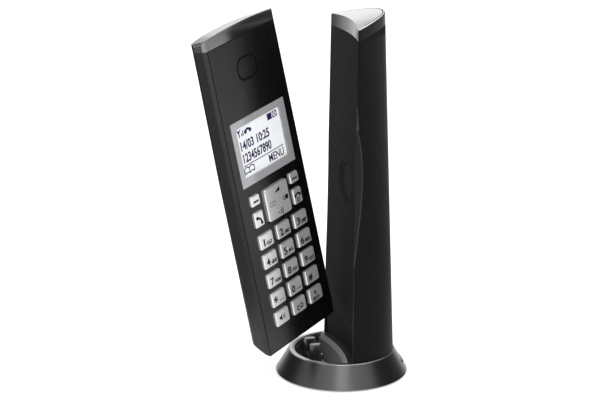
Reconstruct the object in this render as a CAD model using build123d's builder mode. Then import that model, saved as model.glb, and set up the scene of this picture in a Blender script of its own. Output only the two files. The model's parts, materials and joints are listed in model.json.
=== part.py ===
from build123d import *

import os
from math import cos, radians, sin, sqrt

# A cordless phone: a tower base with a charging cradle, and the handset held above it.
# The origin is the centre of the base on the table, +Z is up and the cradle faces -Y.
os.makedirs("parts", exist_ok=True)

# Base ring
base_radius = 30.0
rim_radius = 24.0
rim_height = 10.9
ring_wall = 1.6
deck_thickness = 1.8
rim_round = 0.5
foot_height = 0.6
plate_thickness = 1.6
plate_clearance = 0.2
foot_margin = 3.0
foot_band = 2.8
foot_recess = 0.5
foot_gap = 27.0
foot_clearance = 0.1

# Tower, given at the rim and at the front edge of its top
tower_height = 161.8
cap_height = 5.0
half_width_low = 23.2
half_width_high = 21.6
chord_low = -1.8
chord_high = 0.3
sag_low = 2.6
sag_high = 2.3
nose_low = 23.6
nose_high = 18.7
nose_span_low = 12.0
nose_span_high = 10.5
nose_drop_low = 3.3
nose_drop_high = 4.3
flank_bulge_low = 3.4
flank_bulge_high = 0.7
ridge_round = 0.6
shell_wall = 1.8
panel_wall = 2.0
ridge_strip = 1.7
panel_clearance = 0.1
cap_slope = 12.5
cap_crown = 0.8
cap_round = 0.5
cap_spigot = 2.0
cap_groove_inset = 1.1
cap_groove_width = 0.45
cap_groove_depth = 0.4
scallop_depth = 1.25
scallop_length = 86.0
scallop_height = 87.0
step_low = 19.4
step_high = 22.5
step_depth = 0.7
step_start = 0.1

# Page button in its dish
page_height = 89.5
page_radius = 7.5
page_dish_radius = 9.5
page_dish_depth = 0.3
page_recess = 0.25
page_clearance = 0.2
page_flange = 1.0
page_flange_thickness = 0.8
page_float = 0.15
page_travel = 0.8
page_stem_radius = 1.6

# Circuit boards, jacks and screws in the base
board_front = 10.4
board_thickness = 1.2
board_half_width = 11.0
board_bottom = 30.0
board_top = 128.0
board_screw_x = 8.5
board_screw_inset = 5.0
boss_radius = 2.4
boss_root = 0.3
board_screw_radius = 1.0
screw_head_radius = 2.0
screw_head_height = 1.2
board_screw_length = 5.0
switch_size = 6.0
switch_gap = 0.1
page_stem_length = 0.7
shield_width = 18.0
shield_height = 26.0
shield_depth = 3.0
shield_centre = 104.0
shield_round = 1.0
antenna_width = 4.0
antenna_thickness = 0.5
antenna_length = 26.0
antenna_lap = 5.0
jack_rear = 3.8
jack_length = 11.0
jack_height = 10.8
line_jack_width = 12.6
power_jack_width = 9.0
jack_gap = 0.8
line_socket_width = 9.8
line_socket_height = 6.8
line_latch_width = 4.2
line_latch_height = 1.4
power_socket_radius = 3.0
power_socket_rise = 4.6
power_pin_radius = 1.0
socket_depth = 8.6
socket_floor = 0.9
jack_board_thickness = 1.2
jack_clearance = 0.3
well_end = 23.2
well_wall = 1.2
well_roof = 0.9
notch_width = 9.0
notch_top = 3.9
hood_angle = 19.0
hood_height = 1.6
hood_low = 0.55
hood_high = 0.15
hood_root = 0.4
tower_screw_x = 15.6
tower_screw_y = 12.0
tower_boss_radius = 2.8
tower_boss_height = 9.0
plate_screw_x = 20.4
plate_screw_y = 2.6
base_screw_radius = 1.1
base_screw_length = 7.0
base_head_radius = 2.2
base_head_height = 1.5
plate_screw_sink = 0.1
screw_clearance = 0.2

# Charging cradle
cradle_radius = 22.4
cradle_ledge = 1.0
cradle_clearance = 0.2
cradle_sink = 0.3
bowl_margin = 0.5
bowl_radius = 18.2
bowl_corner = -9.0
bowl_middle = -8.0
cradle_floor = 4.2
post_x = 4.55
post_y = -13.75
post_width = 3.5
post_length = 5.5
post_corner = 1.5
post_top = 15.0
post_chamfer = 0.45
bridge_top = 8.9
contact_width = 1.8
contact_height = 3.4
contact_thickness = 0.5
contact_proud = 0.3
contact_rise = 2.6

# Handset
handset_origin = (12.515, -21.883, 23.510)
handset_lean = 11.4
handset_turn = 127.7
handset_half_low = 25.3
handset_half_high = 24.3
frame_inset = 0.7
frame_chamfer = 1.8
panel_inset = 1.3
panel_gap = 0.4
panel_length = 140.0
panel_thickness = 1.3
taper_start = 82.0
side_depth = 8.05
crown_low = 17.0
crown_high = 11.5
back_round = 2.8
heel_depth = 6.2
heel_rise = 4.0
heel_back = 15.0
top_height = 144.75
top_crown = 1.05
top_slope = 10.0
top_corner = 1.4
chamber_half = 22.2
chamber_bottom = 8.2
chamber_top = 137.0
rear_chamber_half = 12.0
rear_chamber_bottom = 84.0
rear_chamber_top = 134.0
rear_chamber_depth = 9.4

# Keypad
key_columns = 3
key_rows = 5
key_pitch_x = 12.7
key_pitch_y = 9.125
key_low_row = 13.9
keypad_x = 0.5
key_width = 9.6
key_height = 6.8
key_corner = 0.9
key_rise = 1.2
key_draw = 0.1
key_bevel = 0.35
key_clearance = 0.2
key_flange_margin = 0.5
key_flange_thickness = 0.8
key_float = 0.1
key_travel = 0.7
pip_radius = 0.5
pip_height = 0.25
side_key_x = 14.25
side_shift = 0.25
side_key_width = 6.2
soft_key_y = 69.6
soft_key_height = 4.9
call_key_y = 60.95
call_key_height = 7.2
side_key_corner = 0.9
nav_y = 64.15
nav_width = 16.6
nav_height = 15.0
nav_corner = 1.3
nav_rise = 1.5
nav_clearance = 0.35
nav_sink = 0.55
nav_flange_margin = 0.7
nav_flange_thickness = 0.6
nav_gap = 0.1
nav_pivot_radius = 1.5

# Display, earpiece and microphone
display_y = 91.15
display_frame_width = 38.2
display_frame_height = 29.3
display_frame_corner = 0.35
display_frame_thickness = 0.9
display_frame_proud = 0.1
display_width = 31.4
display_height = 22.6
display_corner = 1.0
display_view_x = -0.3
display_view_y = 91.4
glass_clearance = 0.1
glass_thickness = 0.7
lcd_margin = 1.3
lcd_thickness = 1.6
lcd_clearance = 0.3
earpiece_y = 125.85
earpiece_width = 12.6
earpiece_height = 9.2
earpiece_corner = 3.6
earpiece_groove = 0.5
earpiece_sink = 0.15
earpiece_flange = 1.2
earpiece_flange_thickness = 0.5
speaker_radius = 7.5
mic_x = 0.3
mic_y = 6.5
mic_clearance = 0.1
mic_count = 10
mic_pitch = 1.87
mic_hole_radius = 0.42
mic_radius = 1.25
mic_thickness = 1.4

# Boards, cells and screws in the handset
mat_half = 19.4
mat_bottom = 9.0
mat_top = 72.8
mat_thickness = 0.5
mat_gap = 0.1
pcb_half = 20.6
pcb_bottom = 8.6
pcb_top = 116.0
pcb_thickness = 0.8
can_width = 22.0
can_height = 24.0
can_depth = 2.6
can_y = 98.0
ringer_radius = 8.0
ringer_y = 124.0
ringer_thickness = 4.0
slot_count = 3
slot_pitch = 3.6
slot_length = 9.0
slot_width = 1.4
cell_radius = 5.25
cell_length = 43.7
cell_gap = 0.2
cell_seat = 0.2
cell_bottom = 17.6
cell_nub_radius = 1.9
cell_nub_height = 0.8
bay_clearance = 0.3
cell_contact_thickness = 0.4
cover_half = 15.2
cover_top = 79.0
cover_thickness = 1.2
cover_clearance = 0.15
grip_count = 4
grip_pitch = 2.4
grip_width = 1.0
grip_depth = 0.4
grip_length = 12.0
grip_y = 70.0
front_screw_x = 13.4
front_screw_y = 74.9
front_screw_radius = 0.9
front_screw_seat = 10.9
front_screw_end = 1.9
front_head_radius = 1.7
front_head_height = 1.2
front_boss_radius = 1.9
recess_depth = 7.9
recess_clearance = 0.8
recess_corner = 1.5
recess_top = 11.0
pad_width = 1.8
pad_height = 1.3
pad_thickness = 0.4

# Levels worked out from the sizes above
deck_bottom = rim_height - deck_thickness
foot_outer = base_radius - foot_margin
foot_inner = foot_outer - foot_band
plate_top = foot_height + plate_thickness
cap_bottom = tower_height - cap_height
jack_face = jack_rear + jack_length
jack_top = plate_top + jack_height
jacks_width = line_jack_width + jack_gap + power_jack_width
jacks_left = -jacks_width / 2
tray_top = rim_height - cradle_sink
recess_width = 2 * post_x + post_width + 2 * recess_clearance
recess_length = post_length + 2 * recess_clearance
key_flange_front = panel_thickness + key_float
key_flange_back = key_flange_front + key_flange_thickness
mat_front = key_flange_back + key_travel + mat_gap
pcb_front = mat_front + mat_thickness
pcb_back = pcb_front + pcb_thickness
lcd_front = display_frame_thickness - display_frame_proud
lcd_back = lcd_front + lcd_thickness
cell_x = cell_radius + cell_gap / 2
bay_half = cell_x + cell_radius + bay_clearance
bay_bottom = cell_bottom - cell_contact_thickness
bay_top = cell_bottom + cell_length + cell_nub_height + cell_contact_thickness
chamber_depth = pcb_back
cell_depth = chamber_depth + cell_seat + cell_radius
earpiece_back = panel_thickness + earpiece_flange_thickness


def save(piece, name):
    """Label a finished piece and write it to its own file."""
    piece.label = name
    export_step(piece, f"parts/{name}.step")


def blend(low, high, z):
    """A tower size at height z, on the straight line from the rim to the top."""
    return low + (high - low) * (z - rim_height) / (tower_height - rim_height)


def ring_radius(z):
    """The outer radius of the base ring at height z."""
    return base_radius - (base_radius - rim_radius) * (z - foot_height) / (rim_height - foot_height)


def concave_y(x, z):
    """The y of the tower's hollow front face at x, at height z."""
    half = blend(half_width_low, half_width_high, z)
    sag = blend(sag_low, sag_high, z)
    radius = (half**2 + sag**2) / (2 * sag)
    return blend(chord_low, chord_high, z) + sag - radius + sqrt(radius**2 - x**2)


def front_arc(half, z, back):
    """The hollow front face from -half to half at height z, set back into the tower."""
    edge = concave_y(half, z) + back
    ThreePointArc((-half, edge), (0, concave_y(0, z) + back), (half, edge))


def tower_section(z):
    """Draw the tower's plan at height z: hollow front, two flanks and a rounded nose."""
    half = blend(half_width_low, half_width_high, z)
    chord = blend(chord_low, chord_high, z)
    nose = blend(nose_low, nose_high, z)
    span = blend(nose_span_low, nose_span_high, z)
    shoulder = nose - blend(nose_drop_low, nose_drop_high, z)
    bulge = blend(flank_bulge_low, flank_bulge_high, z)
    with BuildSketch(Plane.XY.offset(z)) as section:
        with BuildLine():
            front_arc(half, z, 0)
            SagittaArc((half, chord), (span, shoulder), -bulge)
            ThreePointArc((span, shoulder), (0, nose), (-span, shoulder))
            SagittaArc((-span, shoulder), (-half, chord), -bulge)
        make_face()
        fillet(section.vertices().sort_by(Axis.Y)[:2], ridge_round)
    return section.sketch


def hollow_section(z):
    """Draw the plan of the space inside the tower at height z."""
    half = blend(half_width_low, half_width_high, z) - ridge_strip - shell_wall
    nose = blend(nose_low, nose_high, z) - shell_wall
    span = blend(nose_span_low, nose_span_high, z) - shell_wall
    shoulder = nose - blend(nose_drop_low, nose_drop_high, z)
    bulge = blend(flank_bulge_low, flank_bulge_high, z)
    corner = concave_y(half, z) + panel_wall
    with BuildSketch(Plane.XY.offset(z)) as section:
        with BuildLine():
            front_arc(half, z, panel_wall)
            SagittaArc((half, corner), (span, shoulder), -bulge)
            ThreePointArc((span, shoulder), (0, nose), (-span, shoulder))
            SagittaArc((-span, shoulder), (-half, corner), -bulge)
        make_face()
    return section.sketch


def panel_section(z):
    """Draw the plan of the tower's front panel at height z."""
    half = blend(half_width_low, half_width_high, z) - ridge_strip
    with BuildSketch(Plane.XY.offset(z)) as section:
        with BuildLine():
            front_arc(half, z, 0)
            Line((half, concave_y(half, z)), (half, concave_y(half, z) + panel_wall))
            front_arc(half, z, panel_wall)
            Line((-half, concave_y(half, z)), (-half, concave_y(half, z) + panel_wall))
        make_face()
    return section.sketch


def front_zone_section(z, back, gap):
    """Draw the plan in front of the tower's face at height z, set back and widened by a gap."""
    half = blend(half_width_low, half_width_high, z) - ridge_strip + gap
    edge = concave_y(half, z) + back
    clear = chord_low - ridge_strip
    with BuildSketch(Plane.XY.offset(z)) as section:
        with BuildLine():
            Polyline((half, edge), (half, clear), (-half, clear), (-half, edge))
            front_arc(half, z, back)
        make_face()
    return section.sketch


def cut_scallops():
    """Cut the long finger hollows out of both ridges of the current piece."""
    ridge = blend(half_width_low, half_width_high, scallop_height)
    radius = (scallop_length**2 / 4 + scallop_depth**2) / (2 * scallop_depth)
    with BuildSketch(Plane.XZ.offset(-base_radius)) as hollows:
        with Locations((ridge + radius - scallop_depth, scallop_height)):
            Circle(radius)
        with Locations((-ridge - radius + scallop_depth, scallop_height)):
            Circle(radius)
    extrude(hollows.sketch, amount=2 * base_radius, mode=Mode.SUBTRACT)


def foot_outline(z, gap):
    """Draw the foot's open ring at height z, drawn in by a gap all round."""
    with BuildSketch(Plane.XY.offset(z)) as section:
        Circle(foot_outer - gap)
        Circle(foot_inner + gap, mode=Mode.SUBTRACT)
        with Locations((0, base_radius / 2)):
            Rectangle(foot_gap + 2 * gap, base_radius, mode=Mode.SUBTRACT)
    return section.sketch


def half_moon(radius, corner_y, middle_y, z):
    """Draw the cradle's plan: round to the front, with a shallow arc behind."""
    corner_x = sqrt(radius**2 - corner_y**2)
    with BuildSketch(Plane.XY.offset(z)) as section:
        with BuildLine():
            ThreePointArc((-corner_x, corner_y), (0, -radius), (corner_x, corner_y))
            ThreePointArc((corner_x, corner_y), (0, middle_y), (-corner_x, corner_y))
        make_face()
    return section.sketch


# The handset's own plane: its origin is the middle of the panel's bottom edge,
# x runs across the keys, y up the handset and z out of its face.
lean = radians(handset_lean)
turn = radians(handset_turn)
handset = Plane(
    origin=handset_origin,
    x_dir=(cos(turn), sin(turn) * cos(lean), sin(turn) * sin(lean)),
    z_dir=(sin(turn), -cos(turn) * cos(lean), -cos(turn) * sin(lean)),
)
outward = Axis(handset.origin, handset.z_dir)


def front(depth):
    """The plane at a depth behind the handset's face."""
    return handset.offset(-depth)


def across(y):
    """The plane across the handset at y, whose own y axis is the depth behind the face."""
    return Plane(handset.from_local_coords(Vector(0, y, 0)), x_dir=handset.x_dir, z_dir=handset.y_dir)


def beside(x):
    """The plane along the handset at x, with the depth as its x axis and the length as its y."""
    return Plane(handset.from_local_coords(Vector(x, 0, 0)), x_dir=-handset.z_dir, z_dir=handset.x_dir)


def handset_half(y):
    """Half the width of the handset at y, narrowing towards the top."""
    return handset_half_low + (handset_half_high - handset_half_low) * y / panel_length


def handset_section(y, crown):
    """Draw the handset's section at y: chamfered front edges, flat sides and a round back."""
    half = handset_half(y)
    lip = half - frame_inset
    with BuildSketch(across(y)) as section:
        with BuildLine():
            Polyline(
                (-half, side_depth),
                (-half, frame_chamfer),
                (-lip, 0),
                (lip, 0),
                (half, frame_chamfer),
                (half, side_depth),
            )
            ThreePointArc((half, side_depth), (0, crown), (-half, side_depth))
        make_face()
        back = section.vertices().filter_by_position(Axis.Y, side_depth - key_float, side_depth + key_float)
        fillet(back, back_round)
    return section.sketch


def handset_block():
    """Fill the current piece with the handset's outer form up to the panel's top."""
    sections = [
        handset_section(0, crown_low),
        handset_section(taper_start, crown_low),
        handset_section(panel_length, crown_high),
    ]
    loft(sections, ruled=True)
    with BuildSketch(beside(-handset_half_low)) as heel:
        with BuildLine():
            ThreePointArc((0, 0), (heel_depth, heel_rise), (crown_low, heel_back))
            Polyline((crown_low, heel_back), (crown_low, -heel_back), (0, -heel_back), (0, 0))
        make_face()
    extrude(heel.sketch, amount=2 * handset_half_low, mode=Mode.SUBTRACT)


def panel_corners(gap, over):
    """The corners of the handset's panel, grown by a gap at its sides and run over at its ends."""
    low = handset_half(-over) - panel_inset + gap
    high = handset_half(panel_length + over) - panel_inset + gap
    top = panel_length + over
    return [(-low, -over), (low, -over), (high, top), (-high, top)]


# Base

# The walls of the cord well end just inside the flare
wall_x = (jacks_width + well_wall) / 2
wall_top = deck_bottom - base_head_height - plate_clearance
wall_reach = ring_radius(wall_top) - ring_wall - plate_clearance
wall_end = sqrt(wall_reach**2 - (wall_x + well_wall / 2) ** 2)

# The flared ring with its deck, open for the cradle, the jacks and the cords
with BuildPart() as base_ring:
    with BuildSketch(Plane.XZ):
        with BuildLine():
            Polyline(
                (base_radius, foot_height),
                (rim_radius, rim_height),
                (0, rim_height),
                (0, deck_bottom),
                (ring_radius(deck_bottom) - ring_wall, deck_bottom),
                (base_radius - ring_wall, foot_height),
                close=True,
            )
        make_face()
    revolve(axis=Axis.Z)
    fillet(base_ring.edges().filter_by(GeomType.CIRCLE).group_by(Axis.Z)[-1], rim_round)
    ledge_corner = chord_low - cradle_ledge
    ledge_middle = concave_y(0, rim_height) - cradle_ledge
    mouth = half_moon(cradle_radius, ledge_corner, ledge_middle, deck_bottom)
    extrude(mouth, amount=deck_thickness, mode=Mode.SUBTRACT)
    with BuildSketch(Plane.XY.offset(deck_bottom)):
        with Locations((0, jack_rear + jack_length / 2)):
            Rectangle(jacks_width + 2 * jack_clearance, jack_length + 2 * jack_clearance)
        with Locations((tower_screw_x, tower_screw_y), (-tower_screw_x, tower_screw_y)):
            Circle(base_screw_radius + screw_clearance)
    extrude(amount=deck_thickness, mode=Mode.SUBTRACT)
    with BuildSketch(Plane.XY.offset(rim_height - well_roof)):
        with Locations((0, (jack_face + wall_end) / 2)):
            Rectangle(jacks_width, wall_end - jack_face)
    extrude(amount=well_roof - deck_thickness, mode=Mode.SUBTRACT)
    with BuildSketch(Plane.XY.offset(plate_top)):
        with Locations((plate_screw_x, plate_screw_y), (-plate_screw_x, plate_screw_y)):
            Circle(boss_radius)
    extrude(amount=deck_bottom - plate_top)
    with BuildSketch(Plane.XY.offset(plate_top)):
        with Locations((plate_screw_x, plate_screw_y), (-plate_screw_x, plate_screw_y)):
            Circle(base_screw_radius)
    extrude(amount=base_screw_length - plate_thickness, mode=Mode.SUBTRACT)
    with BuildSketch(Plane.XY.offset(foot_height)):
        with Locations((0, base_radius)):
            Rectangle(notch_width, base_radius - well_end + base_radius - rim_radius)
    extrude(amount=notch_top - foot_height, mode=Mode.SUBTRACT)
    side = radians(hood_angle)
    hood_top = notch_top + hood_height
    with BuildSketch(Plane((0, 0, 0), x_dir=(sin(side), cos(side), 0), z_dir=(cos(side), -sin(side), 0))):
        with BuildLine():
            Polyline(
                (ring_radius(notch_top) - hood_root, notch_top),
                (ring_radius(notch_top) + hood_low, notch_top),
                (ring_radius(hood_top) + hood_high, hood_top),
                (ring_radius(hood_top) - hood_root, hood_top),
                close=True,
            )
        make_face()
    revolve(axis=Axis.Z, revolution_arc=2 * hood_angle)
save(base_ring.part, "base_ring")

# The plate that closes the base, with the well that the cords are plugged in through
with BuildPart() as bottom_plate:
    with BuildSketch(Plane.XZ):
        with BuildLine():
            Polyline(
                (0, foot_height),
                (ring_radius(foot_height) - ring_wall - plate_clearance, foot_height),
                (ring_radius(plate_top) - ring_wall - plate_clearance, plate_top),
                (0, plate_top),
                close=True,
            )
        make_face()
    revolve(axis=Axis.Z)
    extrude(foot_outline(foot_height, 0), amount=foot_recess, mode=Mode.SUBTRACT)
    with BuildSketch(Plane.XY.offset(foot_height)):
        with Locations((0, (jack_face + well_end) / 2)):
            Rectangle(jacks_width, well_end - jack_face)
        with Locations((plate_screw_x, plate_screw_y), (-plate_screw_x, plate_screw_y)):
            Circle(base_screw_radius + screw_clearance)
    extrude(amount=plate_thickness, mode=Mode.SUBTRACT)
    with BuildSketch(Plane.XY.offset(foot_height)):
        with Locations((plate_screw_x, plate_screw_y), (-plate_screw_x, plate_screw_y)):
            Circle(base_head_radius + screw_clearance)
    extrude(amount=plate_thickness / 2, mode=Mode.SUBTRACT)
    with BuildSketch(Plane.XY.offset(plate_top)):
        with Locations((wall_x, (jack_face + wall_end) / 2), (-wall_x, (jack_face + wall_end) / 2)):
            Rectangle(well_wall, wall_end - jack_face)
    extrude(amount=wall_top - plate_top)
save(bottom_plate.part, "bottom_plate")

# The rubber foot, a ring that is open behind for the cords
with BuildPart() as rubber_foot:
    extrude(foot_outline(0, foot_clearance), amount=foot_height + foot_recess)
save(rubber_foot.part, "rubber_foot")

# The cradle: a bowl that slopes to a small floor, with the twin charging posts on it
with BuildPart() as cradle_tray:
    outline = half_moon(
        cradle_radius - cradle_clearance,
        ledge_corner - cradle_clearance,
        ledge_middle - cradle_clearance,
        plate_top,
    )
    extrude(outline, amount=tray_top - plate_top)
    inset = cradle_clearance + bowl_margin
    mouth = half_moon(cradle_radius - inset, ledge_corner - inset, ledge_middle - inset, tray_top)
    floor = half_moon(bowl_radius, bowl_corner, bowl_middle, cradle_floor)
    loft([floor, mouth], ruled=True, mode=Mode.SUBTRACT)
save(cradle_tray.part, "cradle_tray")

contact_y = post_y + post_length / 2 + contact_proud - contact_thickness / 2
with BuildPart() as charge_post:
    with BuildSketch(Plane.XY.offset(cradle_floor)):
        with Locations((0, post_y)):
            RectangleRounded(2 * post_x + post_width, post_length, post_corner)
    extrude(amount=bridge_top - cradle_floor)
    with BuildSketch(Plane.XY.offset(bridge_top)):
        with Locations((post_x, post_y), (-post_x, post_y)):
            RectangleRounded(post_width, post_length, post_corner)
    extrude(amount=post_top - bridge_top)
    chamfer(charge_post.edges().group_by(Axis.Z)[-1], post_chamfer)
    with BuildSketch(Plane.XY.offset(cradle_floor + contact_rise)):
        with Locations((post_x, contact_y), (-post_x, contact_y)):
            Rectangle(contact_width, contact_thickness)
    extrude(amount=contact_height, mode=Mode.SUBTRACT)
save(charge_post.part, "charge_post")

with BuildPart() as charge_contacts:
    with BuildSketch(Plane.XY.offset(cradle_floor + contact_rise)):
        with Locations((post_x, contact_y), (-post_x, contact_y)):
            Rectangle(contact_width, contact_thickness)
    extrude(amount=contact_height)
save(charge_contacts.part, "charge_contacts")

# The tower: a hollow shell with the ridges, closed in front by the panel and on top by the cap
with BuildPart() as tower_rear_shell:
    loft([tower_section(rim_height), tower_section(cap_bottom)], ruled=True)
    loft(
        [
            front_zone_section(rim_height, panel_wall, panel_clearance),
            front_zone_section(cap_bottom, panel_wall, panel_clearance),
        ],
        ruled=True,
        mode=Mode.SUBTRACT,
    )
    loft([hollow_section(rim_height), hollow_section(cap_bottom)], ruled=True, mode=Mode.SUBTRACT)
    cut_scallops()
    with BuildSketch(Plane.XY.offset(rim_height)):
        with Locations((tower_screw_x, tower_screw_y), (-tower_screw_x, tower_screw_y)):
            Circle(tower_boss_radius)
    extrude(amount=tower_boss_height)
    with BuildSketch(Plane.XY.offset(rim_height)):
        with Locations((tower_screw_x, tower_screw_y), (-tower_screw_x, tower_screw_y)):
            Circle(base_screw_radius)
    extrude(amount=base_screw_length - deck_thickness, mode=Mode.SUBTRACT)
save(tower_rear_shell.part, "tower_rear_shell")

page_face = concave_y(0, page_height) + page_dish_depth + page_recess
page_back = concave_y(0, page_height) + panel_wall + page_float
board_holes = [
    (x, z)
    for x in (-board_screw_x, board_screw_x)
    for z in (board_bottom + board_screw_inset, board_top - board_screw_inset)
]
with BuildPart() as tower_front_panel:
    loft([panel_section(rim_height), panel_section(cap_bottom)], ruled=True)
    step = [
        front_zone_section(rim_height, step_depth, panel_clearance),
        front_zone_section(step_low, step_depth, panel_clearance),
        front_zone_section(step_high, -step_start, panel_clearance),
    ]
    loft(step, ruled=True, mode=Mode.SUBTRACT)
    with BuildSketch(Plane.XZ.offset(-concave_y(0, page_height) - page_dish_depth)):
        with Locations((0, page_height)):
            Circle(page_dish_radius)
    extrude(amount=page_dish_radius, mode=Mode.SUBTRACT)
    with BuildSketch(Plane.XZ.offset(-board_front)):
        with Locations((0, page_height)):
            Circle(page_radius + page_clearance)
    extrude(amount=2 * board_front, mode=Mode.SUBTRACT)
    with BuildSketch(Plane.XZ.offset(-board_front)):
        with Locations(*board_holes):
            Circle(boss_radius)
    extrude(amount=board_front - concave_y(board_screw_x, board_top) - boss_root)
    with BuildSketch(Plane.XZ.offset(-board_front)):
        with Locations(*board_holes):
            Circle(board_screw_radius)
    extrude(amount=board_screw_length, mode=Mode.SUBTRACT)
save(tower_front_panel.part, "tower_front_panel")


def above_crown(drop):
    """Draw the space above the cap's crowned top, let down by a drop."""
    level = tower_height - drop
    ceiling = tower_height + 2 * cap_height
    with BuildSketch(Plane.XZ.offset(-chord_high)) as space:
        with BuildLine():
            ThreePointArc((-half_width_low, level), (0, level + cap_crown), (half_width_low, level))
            Polyline(
                (half_width_low, level),
                (half_width_low, ceiling),
                (-half_width_low, ceiling),
                (-half_width_low, level),
            )
        make_face()
    return space.sketch


# The tower's cap rises to the back, with a fine groove along its back edge
rise = Vector(0, cos(radians(cap_slope)), sin(radians(cap_slope)))
with BuildPart() as cap_groove:
    with BuildSketch(Plane.XY.offset(cap_bottom)):
        add(tower_section(cap_bottom))
        add(front_zone_section(cap_bottom, cap_groove_inset, ridge_strip), mode=Mode.SUBTRACT)
        offset(amount=-cap_groove_inset)
        offset(amount=-cap_groove_width, mode=Mode.SUBTRACT)
        clear = 2 * cap_groove_inset + cap_groove_width + ridge_round
        add(front_zone_section(cap_bottom, clear, ridge_strip), mode=Mode.SUBTRACT)
    extrude(amount=2 * cap_height)
    extrude(above_crown(cap_groove_depth), amount=2 * base_radius, dir=rise, mode=Mode.INTERSECT)

with BuildPart() as tower_cap:
    loft([tower_section(cap_bottom), tower_section(tower_height + 2 * cap_height)], ruled=True)
    extrude(above_crown(0), amount=2 * base_radius, dir=rise, mode=Mode.SUBTRACT)
    fillet(tower_cap.faces().sort_by(Axis.Z)[-1].edges().sort_by(Axis.Y)[-3:], cap_round)
    add(cap_groove.part, mode=Mode.SUBTRACT)
    with BuildSketch(Plane.XY.offset(cap_bottom)):
        add(hollow_section(cap_bottom))
        offset(amount=-panel_clearance, kind=Kind.INTERSECTION)
    extrude(amount=-cap_spigot)
save(tower_cap.part, "tower_cap")

# The page button, its switch and the board that stands in the tower
with BuildPart() as page_button:
    with BuildSketch(Plane.XZ.offset(-page_back)):
        with Locations((0, page_height)):
            Circle(page_radius)
    extrude(amount=page_back - page_face)
    with BuildSketch(Plane.XZ.offset(-page_back - page_flange_thickness)):
        with Locations((0, page_height)):
            Circle(page_radius + page_flange)
    extrude(amount=page_flange_thickness)
    with BuildSketch(Plane.XZ.offset(-page_back - page_flange_thickness)):
        with Locations((0, page_height)):
            Circle(page_stem_radius)
    extrude(amount=-page_stem_length)
save(page_button.part, "page_button")

switch_front = page_back + page_flange_thickness + page_stem_length + page_travel + switch_gap
with BuildPart() as page_switch:
    with BuildSketch(Plane.XZ.offset(-board_front)):
        with Locations((0, page_height)):
            Rectangle(switch_size, switch_size)
    extrude(amount=board_front - switch_front)
save(page_switch.part, "page_switch")

board_back = board_front + board_thickness
with BuildPart() as base_circuit_board:
    with BuildSketch(Plane.XZ.offset(-board_back)):
        with Locations((0, (board_bottom + board_top) / 2)):
            Rectangle(2 * board_half_width, board_top - board_bottom)
        with Locations(*board_holes):
            Circle(board_screw_radius + screw_clearance, mode=Mode.SUBTRACT)
    extrude(amount=board_thickness)
save(base_circuit_board.part, "base_circuit_board")

with BuildPart() as board_screws:
    with BuildSketch(Plane.XZ.offset(-board_back)):
        with Locations(*board_holes):
            Circle(screw_head_radius)
    extrude(amount=-screw_head_height)
    with BuildSketch(Plane.XZ.offset(-board_back)):
        with Locations(*board_holes):
            Circle(board_screw_radius)
    extrude(amount=board_screw_length)
save(board_screws.part, "board_screws")

with BuildPart() as base_rf_shield:
    with BuildSketch(Plane.XZ.offset(-board_back)):
        with Locations((0, shield_centre)):
            Rectangle(shield_width, shield_height)
    extrude(amount=-shield_depth)
    fillet(base_rf_shield.edges().filter_by(Axis.Y), shield_round)
save(base_rf_shield.part, "base_rf_shield")

with BuildPart() as base_antenna:
    with BuildSketch(Plane.XZ.offset(-board_back)):
        with Locations((0, board_top - antenna_lap + antenna_length / 2)):
            Rectangle(antenna_width, antenna_length)
    extrude(amount=-antenna_thickness)
save(base_antenna.part, "base_antenna")

# The jacks, which face the cord well, and the small board above them
jack_y = Plane.XZ.offset(-jack_face)
with BuildPart() as line_jack:
    with BuildSketch(jack_y):
        with Locations((jacks_left + line_jack_width / 2, plate_top + jack_height / 2)):
            Rectangle(line_jack_width, jack_height)
    extrude(amount=jack_length)
    socket_bottom = plate_top + socket_floor
    with BuildSketch(jack_y):
        with Locations((jacks_left + line_jack_width / 2, socket_bottom + line_socket_height / 2)):
            Rectangle(line_socket_width, line_socket_height)
        with Locations((jacks_left + line_jack_width / 2, socket_bottom)):
            Rectangle(line_latch_width, line_latch_height)
    extrude(amount=socket_depth, mode=Mode.SUBTRACT)
save(line_jack.part, "line_jack")

power_x = jacks_left + line_jack_width + jack_gap + power_jack_width / 2
power_z = plate_top + power_socket_rise
with BuildPart() as power_jack:
    with BuildSketch(jack_y):
        with Locations((power_x, plate_top + jack_height / 2)):
            Rectangle(power_jack_width, jack_height)
    extrude(amount=jack_length)
    with BuildSketch(jack_y):
        with Locations((power_x, power_z)):
            Circle(power_socket_radius)
            Circle(power_pin_radius, mode=Mode.SUBTRACT)
    extrude(amount=socket_depth, mode=Mode.SUBTRACT)
save(power_jack.part, "power_jack")

with BuildPart() as jack_board:
    with BuildSketch(Plane.XY.offset(jack_top)):
        with Locations((0, jack_rear + jack_length / 2)):
            Rectangle(jacks_width, jack_length)
    extrude(amount=jack_board_thickness)
save(jack_board.part, "jack_board")

with BuildPart() as base_screws:
    with BuildSketch(Plane.XY.offset(deck_bottom - base_head_height)):
        with Locations((tower_screw_x, tower_screw_y), (-tower_screw_x, tower_screw_y)):
            Circle(base_head_radius)
    extrude(amount=base_head_height)
    with BuildSketch(Plane.XY.offset(deck_bottom)):
        with Locations((tower_screw_x, tower_screw_y), (-tower_screw_x, tower_screw_y)):
            Circle(base_screw_radius)
    extrude(amount=base_screw_length)
    with BuildSketch(Plane.XY.offset(foot_height + plate_screw_sink)):
        with Locations((plate_screw_x, plate_screw_y), (-plate_screw_x, plate_screw_y)):
            Circle(base_head_radius)
    extrude(amount=plate_thickness / 2 - plate_screw_sink)
    with BuildSketch(Plane.XY.offset(foot_height + plate_thickness / 2)):
        with Locations((plate_screw_x, plate_screw_y), (-plate_screw_x, plate_screw_y)):
            Circle(base_screw_radius)
    extrude(amount=base_screw_length - plate_thickness / 2)
save(base_screws.part, "base_screws")

# Handset

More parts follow.
